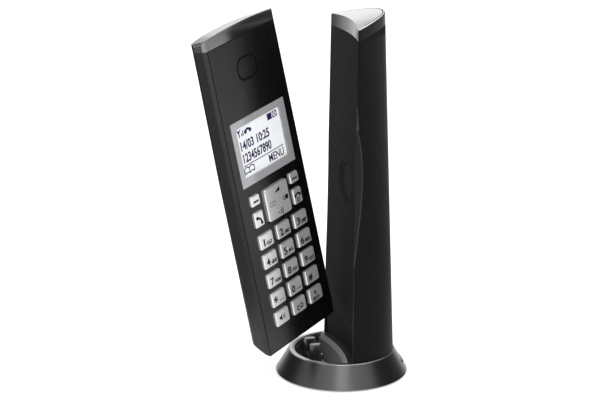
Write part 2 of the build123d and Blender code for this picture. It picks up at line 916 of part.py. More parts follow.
cover_sag = crown_low - side_depth
cover_centre = crown_low - (handset_half_low**2 + cover_sag**2) / (2 * cover_sag)


def cover_zone(gap):
    """Draw the section of the battery cover across the handset, grown by a gap."""
    half = cover_half + gap
    radius = crown_low - cover_centre - cover_thickness - gap
    edge = cover_centre + sqrt(radius**2 - half**2)
    outside = crown_low + cover_thickness
    with BuildSketch(across(0)) as zone:
        with BuildLine():
            ThreePointArc((-half, edge), (0, cover_centre + radius), (half, edge))
            Polyline((half, edge), (half, outside), (-half, outside), (-half, edge))
        make_face()
    return zone.sketch


screw_spots = [(-front_screw_x, front_screw_y), (front_screw_x, front_screw_y)]

# The rear housing, hollowed for the boards, the cells, the ringer and the charging posts
with BuildPart() as handset_rear_housing:
    handset_block()
    with BuildSketch(front(panel_thickness)):
        Polygon(*panel_corners(panel_gap, heel_rise), align=None)
    extrude(amount=panel_thickness, mode=Mode.SUBTRACT)
    with BuildSketch(front(chamber_depth)):
        with Locations((0, (chamber_bottom + chamber_top) / 2)):
            Rectangle(2 * chamber_half, chamber_top - chamber_bottom)
    extrude(amount=chamber_depth - panel_thickness, mode=Mode.SUBTRACT)
    with BuildSketch(front(panel_thickness)):
        with Locations((mic_x, mic_y)):
            Circle(mic_radius + mic_clearance)
    extrude(amount=-mic_thickness - mic_clearance, mode=Mode.SUBTRACT)
    with BuildSketch(front(chamber_depth)):
        with Locations((0, (rear_chamber_bottom + rear_chamber_top) / 2)):
            Rectangle(2 * rear_chamber_half, rear_chamber_top - rear_chamber_bottom)
    extrude(amount=chamber_depth - rear_chamber_depth, mode=Mode.SUBTRACT)
    with BuildSketch(front(rear_chamber_depth)):
        with Locations((0, ringer_y)):
            with GridLocations(slot_length, slot_pitch, 1, slot_count):
                SlotOverall(slot_length, slot_width)
    extrude(amount=-crown_low, mode=Mode.SUBTRACT)
    with BuildSketch(front(chamber_depth)):
        with Locations((0, (bay_bottom + bay_top) / 2)):
            Rectangle(2 * bay_half, bay_top - bay_bottom)
    extrude(amount=-crown_low, mode=Mode.SUBTRACT)
    extrude(cover_zone(cover_clearance), amount=cover_top + cover_clearance, mode=Mode.SUBTRACT)
    with BuildSketch(across(recess_top)):
        with Locations((0, recess_depth)):
            RectangleRounded(recess_width, recess_length, recess_corner)
    extrude(amount=-recess_top, mode=Mode.SUBTRACT)
    with BuildSketch(front(chamber_depth)):
        with Locations(*screw_spots):
            Circle(front_screw_radius + screw_clearance)
    extrude(amount=chamber_depth - front_screw_seat, mode=Mode.SUBTRACT)
    with BuildSketch(front(front_screw_seat)):
        with Locations(*screw_spots):
            Circle(front_head_radius + screw_clearance)
    extrude(amount=front_screw_seat - crown_low, mode=Mode.SUBTRACT)
save(handset_rear_housing.part, "handset_rear_housing")

with BuildPart() as battery_cover:
    handset_block()
    extrude(cover_zone(0), amount=cover_top, mode=Mode.INTERSECT)
    with BuildSketch(front(crown_low - grip_depth)):
        with Locations((0, grip_y)):
            with GridLocations(grip_length, grip_pitch, 1, grip_count):
                SlotOverall(grip_length, grip_width)
    extrude(amount=-crown_low, mode=Mode.SUBTRACT)
save(battery_cover.part, "battery_cover")

# The keys: name, centre, width, height and corner
digits = ["speaker", "redial", "intercom", "star", "0", "hash"]
digits += ["7", "8", "9", "4", "5", "6", "1", "2", "3"]
keys = []
for number, legend in enumerate(digits):
    x = keypad_x + (number % key_columns - (key_columns - 1) / 2) * key_pitch_x
    y = key_low_row + (number // key_columns) * key_pitch_y
    keys.append((f"key_{legend}", x, y, key_width, key_height, key_corner))
side_left = side_shift - side_key_x
side_right = side_shift + side_key_x
keys.append(("soft_key_left", side_left, soft_key_y, side_key_width, soft_key_height, side_key_corner))
keys.append(("soft_key_right", side_right, soft_key_y, side_key_width, soft_key_height, side_key_corner))
keys.append(("talk_key", side_left, call_key_y, side_key_width, call_key_height, side_key_corner))
keys.append(("off_key", side_right, call_key_y, side_key_width, call_key_height, side_key_corner))

for name, x, y, width, height, corner in keys:
    with BuildPart() as key:
        with BuildSketch(front(key_flange_back)):
            with Locations((x, y)):
                Rectangle(width + 2 * key_flange_margin, height + 2 * key_flange_margin)
        extrude(amount=key_flange_thickness)
        with BuildSketch(front(key_flange_front)):
            with Locations((x, y)):
                RectangleRounded(width, height, corner)
        extrude(amount=key_flange_front)
        with BuildSketch(front(0)):
            with Locations((x, y)):
                RectangleRounded(width, height, corner)
        with BuildSketch(front(-key_rise)):
            with Locations((x, y)):
                RectangleRounded(width - 2 * key_draw, height - 2 * key_draw, corner - key_draw)
        loft(ruled=True)
        chamfer(key.faces().sort_by(outward)[-1].edges(), key_bevel)
        if name == "key_5":
            with BuildSketch(front(-key_rise)):
                with Locations((x, y)):
                    Circle(pip_radius)
            extrude(amount=pip_height)
    save(key.part, name)

nav_flange_front = panel_thickness + nav_sink
nav_flange_back = nav_flange_front + nav_flange_thickness
with BuildPart() as navigation_key:
    with BuildSketch(front(nav_flange_back)):
        with Locations((keypad_x, nav_y)):
            Rectangle(nav_width + 2 * nav_flange_margin, nav_height + 2 * nav_flange_margin)
    extrude(amount=nav_flange_thickness)
    with BuildSketch(front(nav_flange_front)):
        with Locations((keypad_x, nav_y)):
            RectangleRounded(nav_width, nav_height, nav_corner)
    extrude(amount=nav_flange_front)
    with BuildSketch(front(0)):
        with Locations((keypad_x, nav_y)):
            RectangleRounded(nav_width, nav_height, nav_corner)
    with BuildSketch(front(-nav_rise)):
        with Locations((keypad_x, nav_y)):
            RectangleRounded(nav_width - 2 * key_draw, nav_height - 2 * key_draw, nav_corner - key_draw)
    loft(ruled=True)
    chamfer(navigation_key.faces().sort_by(outward)[-1].edges(), key_bevel)
    with BuildSketch(front(nav_flange_back)):
        with Locations((keypad_x, nav_y)):
            Circle(nav_pivot_radius)
    extrude(amount=nav_flange_back - mat_front + nav_gap)
save(navigation_key.part, "navigation_key")

# The front panel, pierced for the keys, the display, the earpiece and the microphone
lcd_width = display_width + 2 * lcd_margin
lcd_height = display_height + 2 * lcd_margin
with BuildPart() as handset_front_panel:
    with BuildSketch(front(panel_thickness)):
        Polygon(*panel_corners(0, 0), align=None)
        for name, x, y, width, height, corner in keys:
            with Locations((x, y)):
                RectangleRounded(
                    width + 2 * key_clearance, height + 2 * key_clearance, corner, mode=Mode.SUBTRACT
                )
        with Locations((keypad_x, nav_y)):
            RectangleRounded(
                nav_width + 2 * nav_clearance, nav_height + 2 * nav_clearance, nav_corner, mode=Mode.SUBTRACT
            )
        with Locations((display_view_x, display_view_y)):
            Rectangle(lcd_width + 2 * lcd_clearance, lcd_height + 2 * lcd_clearance, mode=Mode.SUBTRACT)
        with Locations((0, earpiece_y)):
            RectangleRounded(
                earpiece_width + 2 * earpiece_groove,
                earpiece_height + 2 * earpiece_groove,
                earpiece_corner + earpiece_groove,
                mode=Mode.SUBTRACT,
            )
        with Locations((mic_x, mic_y)):
            with GridLocations(mic_pitch, mic_pitch, mic_count, 1):
                Circle(mic_hole_radius, mode=Mode.SUBTRACT)
    extrude(amount=panel_thickness)
    with BuildSketch(front(lcd_front)):
        with Locations((0, display_y)):
            RectangleRounded(
                display_frame_width + 2 * glass_clearance,
                display_frame_height + 2 * glass_clearance,
                display_frame_corner,
            )
    extrude(amount=lcd_front, mode=Mode.SUBTRACT)
    with BuildSketch(front(panel_thickness)):
        with Locations(*screw_spots):
            Circle(front_boss_radius)
    extrude(amount=panel_thickness - chamber_depth)
    with BuildSketch(front(chamber_depth)):
        with Locations(*screw_spots):
            Circle(front_screw_radius)
    extrude(amount=chamber_depth - front_screw_end, mode=Mode.SUBTRACT)
save(handset_front_panel.part, "handset_front_panel")

# The handset's cap, crowned across and falling towards the back
with BuildPart() as handset_cap:
    extrude(handset_section(panel_length, crown_high), amount=2 * (top_height - panel_length))
    fall = -handset.z_dir * cos(radians(top_slope)) - handset.y_dir * sin(radians(top_slope))
    with BuildSketch(front(0)) as outline:
        with BuildLine():
            ThreePointArc(
                (-handset_half_high, top_height),
                (0, top_height + top_crown),
                (handset_half_high, top_height),
            )
            Polyline(
                (handset_half_high, top_height),
                (handset_half_high, 2 * panel_length - top_height),
                (-handset_half_high, 2 * panel_length - top_height),
                (-handset_half_high, top_height),
            )
        make_face()
        fillet(outline.vertices().sort_by(Axis.Y)[-2:], top_corner)
    extrude(amount=crown_low, dir=fall, mode=Mode.INTERSECT)
save(handset_cap.part, "handset_cap")

# The display: silver frame, clear window, panel and backlight
with BuildPart() as display_frame:
    with BuildSketch(front(lcd_front)):
        with Locations((0, display_y)):
            RectangleRounded(display_frame_width, display_frame_height, display_frame_corner)
        with Locations((display_view_x, display_view_y)):
            RectangleRounded(display_width, display_height, display_corner, mode=Mode.SUBTRACT)
    extrude(amount=display_frame_thickness)
save(display_frame.part, "display_frame")

with BuildPart() as display_window:
    with BuildSketch(front(lcd_front)):
        with Locations((display_view_x, display_view_y)):
            RectangleRounded(
                display_width - 2 * glass_clearance, display_height - 2 * glass_clearance, display_corner
            )
    extrude(amount=glass_thickness)
save(display_window.part, "display_window")

with BuildPart() as lcd_panel:
    with BuildSketch(front(lcd_back)):
        with Locations((display_view_x, display_view_y)):
            Rectangle(lcd_width, lcd_height)
    extrude(amount=lcd_thickness)
save(lcd_panel.part, "lcd_panel")

with BuildPart() as display_backlight:
    with BuildSketch(front(pcb_front)):
        with Locations((display_view_x, display_view_y)):
            Rectangle(lcd_width, lcd_height)
    extrude(amount=pcb_front - lcd_back)
save(display_backlight.part, "display_backlight")

# Earpiece and microphone
with BuildPart() as earpiece_cover:
    with BuildSketch(front(earpiece_back)):
        with Locations((0, earpiece_y)):
            RectangleRounded(
                earpiece_width + 2 * earpiece_flange,
                earpiece_height + 2 * earpiece_flange,
                earpiece_corner + earpiece_flange,
            )
    extrude(amount=earpiece_flange_thickness)
    with BuildSketch(front(panel_thickness)):
        with Locations((0, earpiece_y)):
            RectangleRounded(earpiece_width, earpiece_height, earpiece_corner)
    extrude(amount=panel_thickness - earpiece_sink)
save(earpiece_cover.part, "earpiece_cover")

with BuildPart() as earpiece_speaker:
    with BuildSketch(front(chamber_depth)):
        with Locations((0, earpiece_y)):
            Circle(speaker_radius)
    extrude(amount=chamber_depth - earpiece_back)
save(earpiece_speaker.part, "earpiece_speaker")

with BuildPart() as microphone:
    with BuildSketch(front(panel_thickness)):
        with Locations((mic_x, mic_y)):
            Circle(mic_radius)
    extrude(amount=-mic_thickness)
save(microphone.part, "microphone")

# Keypad mat, circuit board, shield and ringer
with BuildPart() as keypad_mat:
    with BuildSketch(front(pcb_front)):
        with Locations((0, (mat_bottom + mat_top) / 2)):
            Rectangle(2 * mat_half, mat_top - mat_bottom)
    extrude(amount=mat_thickness)
save(keypad_mat.part, "keypad_mat")

with BuildPart() as handset_circuit_board:
    with BuildSketch(front(pcb_back)):
        with Locations((0, (pcb_bottom + pcb_top) / 2)):
            Rectangle(2 * pcb_half, pcb_top - pcb_bottom)
        with Locations(*screw_spots):
            Circle(front_boss_radius + screw_clearance, mode=Mode.SUBTRACT)
    extrude(amount=pcb_thickness)
save(handset_circuit_board.part, "handset_circuit_board")

with BuildPart() as handset_rf_shield:
    with BuildSketch(front(pcb_back)):
        with Locations((0, can_y)):
            Rectangle(can_width, can_height)
    extrude(amount=-can_depth)
    fillet(handset_rf_shield.edges().filter_by(outward), shield_round)
save(handset_rf_shield.part, "handset_rf_shield")

with BuildPart() as ringer_speaker:
    with BuildSketch(front(rear_chamber_depth)):
        with Locations((0, ringer_y)):
            Circle(ringer_radius)
    extrude(amount=ringer_thickness)
save(ringer_speaker.part, "ringer_speaker")

# The two cells, their contact plates, the charging pads and the screws
with BuildPart() as battery_cells:
    with BuildSketch(across(cell_bottom)):
        with Locations((-cell_x, cell_depth), (cell_x, cell_depth)):
            Circle(cell_radius)
    extrude(amount=cell_length)
    with BuildSketch(across(cell_bottom + cell_length)):
        with Locations((-cell_x, cell_depth), (cell_x, cell_depth)):
            Circle(cell_nub_radius)
    extrude(amount=cell_nub_height)
save(battery_cells.part, "battery_cells")

with BuildPart() as battery_contacts:
    for plate_y in (bay_bottom, bay_top - cell_contact_thickness):
        with BuildSketch(across(plate_y)):
            with Locations((0, cell_depth)):
                Rectangle(2 * cell_x + 2 * cell_nub_radius, 2 * cell_nub_radius)
        extrude(amount=cell_contact_thickness)
save(battery_contacts.part, "battery_contacts")

pad_offset = (recess_length - pad_thickness) / 2
with BuildPart() as handset_charge_contacts:
    with BuildSketch(across(recess_top)):
        with Locations((-post_x, recess_depth + pad_offset), (post_x, recess_depth + pad_offset)):
            Rectangle(pad_width, pad_thickness)
    extrude(amount=-pad_height)
save(handset_charge_contacts.part, "handset_charge_contacts")

with BuildPart() as handset_screws:
    with BuildSketch(front(front_screw_seat)):
        with Locations(*screw_spots):
            Circle(front_head_radius)
    extrude(amount=-front_head_height)
    with BuildSketch(front(front_screw_seat)):
        with Locations(*screw_spots):
            Circle(front_screw_radius)
    extrude(amount=front_screw_seat - front_screw_end)
save(handset_screws.part, "handset_screws")
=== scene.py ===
"""Dress the cordless phone: its finishes, key legends, display contents, studio light and camera."""

import json
import logging
import math
from collections.abc import Callable
from dataclasses import dataclass, field
from enum import Enum
from functools import partial
from typing import Any

import bmesh
import bpy
from mathutils import Matrix, Vector

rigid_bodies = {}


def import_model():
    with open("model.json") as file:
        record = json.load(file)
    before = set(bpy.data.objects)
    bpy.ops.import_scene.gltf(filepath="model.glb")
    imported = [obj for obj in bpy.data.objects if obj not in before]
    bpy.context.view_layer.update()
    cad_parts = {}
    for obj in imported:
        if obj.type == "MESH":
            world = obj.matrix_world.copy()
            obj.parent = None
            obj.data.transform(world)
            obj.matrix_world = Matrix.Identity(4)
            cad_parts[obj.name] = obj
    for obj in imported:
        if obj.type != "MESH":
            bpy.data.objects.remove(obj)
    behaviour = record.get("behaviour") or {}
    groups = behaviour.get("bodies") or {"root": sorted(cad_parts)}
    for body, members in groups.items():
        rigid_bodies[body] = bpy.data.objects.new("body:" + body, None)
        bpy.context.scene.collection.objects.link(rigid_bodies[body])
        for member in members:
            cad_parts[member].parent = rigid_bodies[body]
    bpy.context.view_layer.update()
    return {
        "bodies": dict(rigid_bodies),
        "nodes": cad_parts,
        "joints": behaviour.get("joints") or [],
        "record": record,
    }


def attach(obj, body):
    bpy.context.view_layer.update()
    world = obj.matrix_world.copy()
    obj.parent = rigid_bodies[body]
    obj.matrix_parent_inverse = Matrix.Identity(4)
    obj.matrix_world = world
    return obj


LOG = logging.getLogger("cordless_phone")
MM = 0.001
Colour = tuple[float, float, float]
Spot = tuple[float, float, float]
Point = tuple[float, float]


class Value:
    """A shader value that can be used in Python expressions."""

    def __init__(self, graph: "Graph", socket: bpy.types.NodeSocket | None) -> None:
        """Keep the graph and the socket that the value comes from."""
        self.graph = graph
        self.socket = socket

    def __add__(self, other: Any) -> "Value":
        """Return self + other."""
        return self.graph.math("ADD", self, other)

    __radd__ = __add__

    def __sub__(self, other: Any) -> "Value":
        """Return self - other."""
        return self.graph.math("SUBTRACT", self, other)

    def __rsub__(self, other: Any) -> "Value":
        """Return other - self."""
        return self.graph.math("SUBTRACT", other, self)

    def __mul__(self, other: Any) -> "Value":
        """Return self * other."""
        return self.graph.math("MULTIPLY", self, other)

    __rmul__ = __mul__

    def __gt__(self, other: Any) -> "Value":
        """Return 1 where self is above other, and 0 elsewhere."""
        return self.graph.math("GREATER_THAN", self, other)

    def __abs__(self) -> "Value":
        """Return self without its sign."""
        return self.graph.math("ABSOLUTE", self)


class Graph:
    """The node tree of one material or world."""

    def __init__(self, tree: bpy.types.NodeTree) -> None:
        """Empty the tree and keep it."""
        tree.nodes.clear()
        self.tree = tree

    def node(self, kind: str, settings: dict[str, Any] | None = None,
             inputs: dict[Any, Any] | None = None, output: Any = 0) -> Value:
        """Add any node.

        Args:
            kind: The node's type.
            settings: Its own properties, set first; "stops" holds a ramp's positions and colours.
            inputs: Values or links by socket name or number.
            output: The name or number of the output that is returned.

        Returns:
            The output as a value.
        """
        made = self.tree.nodes.new(kind)
        for name, value in (settings or {}).items():
            if name == "stops":
                ramp = made.color_ramp
                while len(ramp.elements) < len(value):
                    ramp.elements.new(1.0)
                for element, (position, colour) in zip(ramp.elements, value):
                    element.position = position
                    element.color = (*colour, 1.0)
            else:
                setattr(made, name, value)
        for key, value in (inputs or {}).items():
            socket = made.inputs[key]
            if isinstance(value, Value):
                self.tree.links.new(value.socket, socket)
            elif socket.type == "RGBA" and len(value) == 3:
                socket.default_value = (*value, 1.0)
            else:
                socket.default_value = value
        return Value(self, made.outputs[output] if len(made.outputs) else None)

    def math(self, operation: str, first: Any, second: Any = 0.0) -> Value:
        """Add a Math node and return its result."""
        return self.node("ShaderNodeMath", {"operation": operation}, {0: first, 1: second})

    def least(self, first: Any, second: Any) -> Value:
        """Return the lesser of two values."""
        return self.math("MINIMUM", first, second)

    def most(self, first: Any, second: Any) -> Value:
        """Return the greater of two values."""
        return self.math("MAXIMUM", first, second)

    def place(self) -> Value:
        """Return the object coordinates, in metres."""
        return self.node("ShaderNodeTexCoord", output="Object")

    def axes(self) -> tuple[Value, Value, Value]:
        """Return the object coordinates as three values."""
        split = self.node("ShaderNodeSeparateXYZ", inputs={0: self.place()})
        return tuple(Value(self, socket) for socket in split.socket.node.outputs)

    def noise(self, size: float, detail: float = 2.0, stretch: Spot = (1.0, 1.0, 1.0)) -> Value:
        """Return noise from 0 to 1 whose blobs are about size metres across."""
        spot = self.node("ShaderNodeMapping", inputs={"Vector": self.place(), "Scale": stretch})
        return self.node("ShaderNodeTexNoise", inputs={
            "Vector": spot, "Scale": 1.0 / size, "Detail": detail, "Roughness": 0.55}, output="Fac")

    def mix(self, share: Any, first: Any, second: Any) -> Value:
        """Return a colour between first and second."""
        return self.node("ShaderNodeMix", {"data_type": "RGBA"}, {0: share, 6: first, 7: second}, output=2)

    def vary(self, share: Any, colour: Colour, contrast: float) -> Value:
        """Return the colour, darker and paler by contrast as share goes from 0 to 1."""
        return self.mix(share, shade(colour, 1 - contrast), shade(colour, 1 + contrast))

    def bump(self, height: Value, depth: float) -> Value:
        """Return a normal with height as relief, depth metres deep."""
        return self.node("ShaderNodeBump", inputs={"Distance": depth, "Height": height}, output="Normal")

    def surface(self, inputs: dict[str, Any]) -> None:
        """Close the graph with one principled shader."""
        shader = self.node("ShaderNodeBsdfPrincipled", inputs=inputs)
        self.node("ShaderNodeOutputMaterial", inputs={"Surface": shader})


def shade(colour: Colour, factor: float) -> Colour:
    """Return the colour times factor."""
    return tuple(min(1.0, part * factor) for part in colour)


@dataclass(frozen=True)
class Finish:
    """A surface finish; each kind writes its own nodes."""

    label: str

    def material(self) -> bpy.types.Material:
        """Make the finish's material on first use.

        Returns:
            The material.
        """
        found = bpy.data.materials.get(self.label)
        if found is None:
            found = bpy.data.materials.new(self.label)
            found.use_nodes = True
            self.write(Graph(found.node_tree))
        return found

    def write(self, graph: Graph) -> None:
        """Write the finish's nodes into graph."""
        raise NotImplementedError

    def dress(self, *things: bpy.types.Object) -> None:
        """Give the objects this finish as their only material.

        Args:
            things: The objects.
        """
        for thing in things:
            thing.data.materials.clear()
            thing.data.materials.append(self.material())


@dataclass(frozen=True)
class MouldedPlastic(Finish):
    """Moulded plastic with a fine spark-eroded grain."""

    colour: Colour
    roughness: float
    grain: float = 0.22 * MM
    grain_depth: float = 0.006 * MM
    cloud: float = 9.0 * MM
    fineness: float = 3.0
    mottle: float = 0.12
    gloss_swing: float = 0.10
    specular: float = 0.5
    glow: float = 0.0
    lean: float = 0.0

    def write(self, graph: Graph) -> None:
        """Write grain, mottled tone, uneven gloss and, on the handset's face, a slight lean.

        Args:
            graph: The material's graph.
        """
        grain = graph.noise(self.grain, self.fineness)
        cloud = graph.noise(self.cloud, self.fineness)
        tone = self.tone(graph, cloud)
        rough = self.roughness + (cloud - 0.5) * self.gloss_swing + (grain - 0.5) * self.gloss_swing
        relief = grain * self.grain_depth
        if self.lean:
            across = handset_frame().col[0]
            x, y, z = graph.axes()
            relief = relief + (x * across.x + y * across.y + z * across.z) * self.lean
        graph.surface({
            "Base Color": tone, "Roughness": rough, "Specular IOR Level": self.specular,
            "Emission Color": tone, "Emission Strength": self.glow, "Normal": graph.bump(relief, 1.0)})

    def tone(self, graph: Graph, cloud: Value) -> Value:
        """Return the mottled colour."""
        return graph.vary(cloud, self.colour, self.mottle)


@dataclass(frozen=True)
class EdgeHighlightPlastic(MouldedPlastic):
    """Moulded plastic with painted highlights: a slim paler crescent along its front edges, paler lines
    bordering it, and a paler wedge above it.
    """

    foot: float = 10.9 * MM
    top: float = 161.8 * MM
    edge_low: float = -1.8 * MM
    edge_high: float = 0.3 * MM
    facet: float = 3.3 * MM
    low: float = 54.0 * MM
    high: float = 117.5 * MM
    skew: float = 0.7
    line: float = 0.22 * MM
    wedge: float = 1.0 * MM
    wedge_rise: float = 12.0 * MM
    # Painted highlight: how much paler than the plastic the crescent facet and its border lines are.
    facet_highlight_tone: float = 2.3
    line_tone: float = 6.0

    def tone(self, graph: Graph, cloud: Value) -> Value:
        """Write the crescent facet, its two borders and the wedge above as painted highlights.

        Args:
            graph: The material's graph.
            cloud: The mottling.

        Returns:
            The colour.
        """
        _, y, z = graph.axes()
        share = graph.most((self.high - z) * (1 / (self.high - self.low)), 0.0)
        share = graph.math("POWER", graph.least(share, 1.0), self.skew)
        bow = graph.math("SINE", share * math.pi) * self.facet
        rise = (self.edge_high - self.edge_low) / (self.top - self.foot)
        ridge = y - self.edge_low - (z - self.foot) * rise
        border = graph.least(abs(bow - ridge), abs(ridge))
        taper = graph.most(1 - (z - self.high) * (1 / self.wedge_rise), 0.0) * (z > self.high)
        line = taper * self.wedge + self.line
        # Painted highlight: the facet is paler, and its borders and the wedge over its top are much paler,
        # in place of light caught along the ridge.
        painted_facet_highlight = graph.mix(bow - ridge > 0.0, super().tone(graph, cloud), shade(self.colour, self.facet_highlight_tone))
        return graph.mix(line - border > 0.0, painted_facet_highlight, shade(self.colour, self.line_tone))


@dataclass(frozen=True)
class MetallicPaint(Finish):
    """Silver paint with fine metal flakes."""

    colour: Colour
    roughness: float
    metallic: float
    flake: float = 0.12 * MM
    flake_contrast: float = 0.10
    flake_gloss: float = 0.08
    flake_depth: float = 0.003 * MM
    cloud: float = 6.0 * MM
    cloud_gloss: float = 0.06

    def write(self, graph: Graph) -> None:
        """Write flakes that differ in tone, gloss and relief.

        Args:
            graph: The material's graph.
        """
        flake = graph.noise(self.flake, 1.0)
        cloud = graph.noise(self.cloud)
        rough = self.roughness + (flake - 0.5) * self.flake_gloss + (cloud - 0.5) * self.cloud_gloss
        graph.surface({
            "Base Color": self.tone(graph, flake), "Metallic": self.metallic, "Roughness": rough,
            "Normal": graph.bump(flake, self.flake_depth)})

    def tone(self, graph: Graph, flake: Value) -> Value:
        """Return the flaked colour."""
        return graph.vary(flake, self.colour, self.flake_contrast)


@dataclass(frozen=True)
class RimHighlightPaint(MetallicPaint):
    """Silver paint with a painted highlight: paler above a rim's height."""

    rim: float = 10.5 * MM
    rim_highlight_colour: Colour = (0.32, 0.32, 0.322)

    def tone(self, graph: Graph, flake: Value) -> Value:
        """Return the flaked colour with the rim's painted highlight."""
        return graph.mix(graph.axes()[2] > self.rim, super().tone(graph, flake), self.rim_highlight_colour)


@dataclass(frozen=True)
class CapTrim(Finish):
    """Bright silver over a cap's top and front, gloss black round its back, and black painted shade on its
    groove's floor.
    """

    colour: Colour
    roughness: float
    metallic: float = 0.97
    flake: float = 0.12 * MM
    flake_contrast: float = 0.06
    flake_gloss: float = 0.04
    black: Colour = (0.007, 0.007, 0.007)
    black_roughness: float = 0.25
    matt_roughness: float = 0.7
    specular: float = 0.08
    height: float = 161.8 * MM
    half: float = 21.6 * MM
    crown: float = 0.8 * MM
    chord: float = 0.3 * MM
    sag: float = 2.3 * MM
    slope: float = 12.5
    rim: float = 0.3 * MM
    corner: float = 0.08 * MM
    band: float = 5.2 * MM
    groove: float = 0.12 * MM
    upward: float = 0.93

    def write(self, graph: Graph) -> None:
        """Write the two colours, parted by the cap's own shape.

        Args:
            graph: The material's graph.
        """
        x, y, z = graph.axes()
        across = x * (1 / self.half)
        bow = 1 - across * across
        lid = self.height + bow * self.crown + (y - self.chord) * math.tan(math.radians(self.slope))
        depth = lid - z
        behind = (y - bow * self.sag) > (self.chord + self.corner)
        back = (depth > self.rim) * behind
        facing = graph.node("ShaderNodeNewGeometry", output="Normal")
        level = graph.node("ShaderNodeSeparateXYZ", inputs={0: facing}, output="Z")
        # Painted shade: the groove's upward faces, below the top, are painted black.
        groove = (depth > self.groove) * (level > self.upward)
        dark = back + groove * (1 - back)
        flake = graph.noise(self.flake, 1.0)
        silver = graph.vary(flake, self.colour, self.flake_contrast)
        matt = (depth > self.band) * (self.matt_roughness - self.black_roughness)
        duller = back * (matt + self.black_roughness - self.roughness)
        graph.surface({
            "Base Color": graph.mix(dark, silver, self.black), "Metallic": (1 - dark) * self.metallic,
            "Roughness": self.roughness + (flake - 0.5) * self.flake_gloss + duller,
            "Specular IOR Level": self.specular})


@dataclass(frozen=True)
class BareMetal(Finish):
    """Plated or rolled metal with fine lines along one axis."""

    colour: Colour
    roughness: float
    line: float = 0.08 * MM
    stretch: Spot = (1.0, 1.0, 0.05)
    line_tone: float = 0.85
    line_gloss: float = 0.12
    line_depth: float = 0.002 * MM

    def write(self, graph: Graph) -> None:
        """Write rolling lines in tone, gloss and relief.

        Args:
            graph: The material's graph.
        """
        line = graph.noise(self.line, stretch=self.stretch)
        graph.surface({
            "Base Color": graph.mix(line, shade(self.colour, self.line_tone), self.colour), "Metallic": 1.0,
            "Roughness": self.roughness + (line - 0.5) * self.line_gloss,
            "Normal": graph.bump(line, self.line_depth)})


@dataclass(frozen=True)
class SolderMask(Finish):
    """A circuit board: green mask over copper tracks."""

    colour: Colour = (0.012, 0.085, 0.035)
    track: Colour = (0.03, 0.16, 0.06)
    mesh: float = 2.2 * MM
    track_half: float = 0.16
    track_depth: float = 0.02 * MM
    track_roughness: float = 0.42
    mask_gloss: float = 0.08

    def write(self, graph: Graph) -> None:
        """Write a maze of tracks under the mask.

        Args:
            graph: The material's graph.
        """
        maze = graph.node(
            "ShaderNodeTexVoronoi", {"feature": "DISTANCE_TO_EDGE", "distance": "EUCLIDEAN"},
            {"Vector": graph.place(), "Scale": 1.0 / self.mesh}, output="Distance")
        mask = maze > self.track_half
        graph.surface({
            "Base Color": graph.mix(mask, self.track, self.colour),
            "Roughness": self.track_roughness - mask * self.mask_gloss,
            "Normal": graph.bump(mask, self.track_depth)})


@dataclass(frozen=True)
class ClearPane(Finish):
    """A clear hard-coated plastic pane."""

    tint: Colour = (0.02, 0.02, 0.02)
    index: float = 1.46
    haze: float = 0.04
    haze_swing: float = 0.03
    mirror: float = 0.03
    cloud: float = 8.0 * MM

    def write(self, graph: Graph) -> None:
        """Write clear plastic whose gloss varies slightly.

        Args:
            graph: The material's graph.
        """
        cloud = graph.noise(self.cloud)
        glass = graph.node("ShaderNodeBsdfPrincipled", inputs={
            "Base Color": self.tint, "Roughness": self.haze + cloud * self.haze_swing, "IOR": self.index})
        clear = graph.node("ShaderNodeBsdfTransparent", inputs={"Color": (1.0, 1.0, 1.0)})
        share = self.mirror + cloud * self.mirror
        both = graph.node("ShaderNodeMixShader", inputs={0: share, 1: clear, 2: glass})
        graph.node("ShaderNodeOutputMaterial", inputs={"Surface": both})


@dataclass(frozen=True)
class LitPane(Finish):
    """A backlit display panel with a faint dot screen."""

    colour: Colour = (0.87, 0.882, 0.895)
    power: float = 0.285
    roughness: float = 0.35
    cloud: float = 14.0 * MM
    cloud_share: float = 0.5
    dot: float = 0.18 * MM
    dot_share: float = 0.25
    dim: float = 0.95

    def write(self, graph: Graph) -> None:
        """Write a nearly even glow.

        Args:
            graph: The material's graph.
        """
        cloud = graph.noise(self.cloud)
        dots = graph.noise(self.dot, 0.0)
        share = cloud * self.cloud_share + dots * self.dot_share
        glow = graph.mix(share, shade(self.colour, self.dim), self.colour)
        graph.surface({
            "Base Color": glow, "Roughness": self.roughness, "Emission Color": glow,
            "Emission Strength": self.power})


@dataclass(frozen=True)
class Ink(Finish):
    """Printed ink, slightly uneven."""

    colour: Colour
    roughness: float = 0.45
    patch: float = 0.35 * MM
    thick: float = 0.8
    thin: float = 1.25
    gloss_swing: float = 0.15
    specular: float = 0.05

    def write(self, graph: Graph) -> None:
        """Write ink whose tone and gloss vary from patch to patch.

        Args:
            graph: The material's graph.
        """
        patch = graph.noise(self.patch)
        graph.surface({
            "Base Color": graph.mix(patch, shade(self.colour, self.thick), shade(self.colour, self.thin)),
            "Roughness": self.roughness + (patch - 0.5) * self.gloss_swing,
            "Specular IOR Level": self.specular})


@dataclass(frozen=True)
class CellWrap(Finish):
    """A rechargeable cell's shrunk sleeve with lighter patches."""

    colour: Colour = (0.05, 0.20, 0.10)
    pale: Colour = (0.55, 0.56, 0.55)
    patch: float = 11.0 * MM
    patch_edge: float = 0.56
    wrinkle: float = 0.8 * MM
    wrinkle_depth: float = 0.01 * MM
    wrinkle_gloss: float = 0.15
    roughness: float = 0.25

    def write(self, graph: Graph) -> None:
        """Write a sleeve with fine shrink wrinkles.

        Args:
            graph: The material's graph.
        """
        wrinkle = graph.noise(self.wrinkle, 3.0)
        patch = graph.noise(self.patch) > self.patch_edge
        graph.surface({
            "Base Color": graph.mix(patch, self.colour, self.pale),
            "Roughness": self.roughness + wrinkle * self.wrinkle_gloss,
            "Normal": graph.bump(wrinkle, self.wrinkle_depth)})


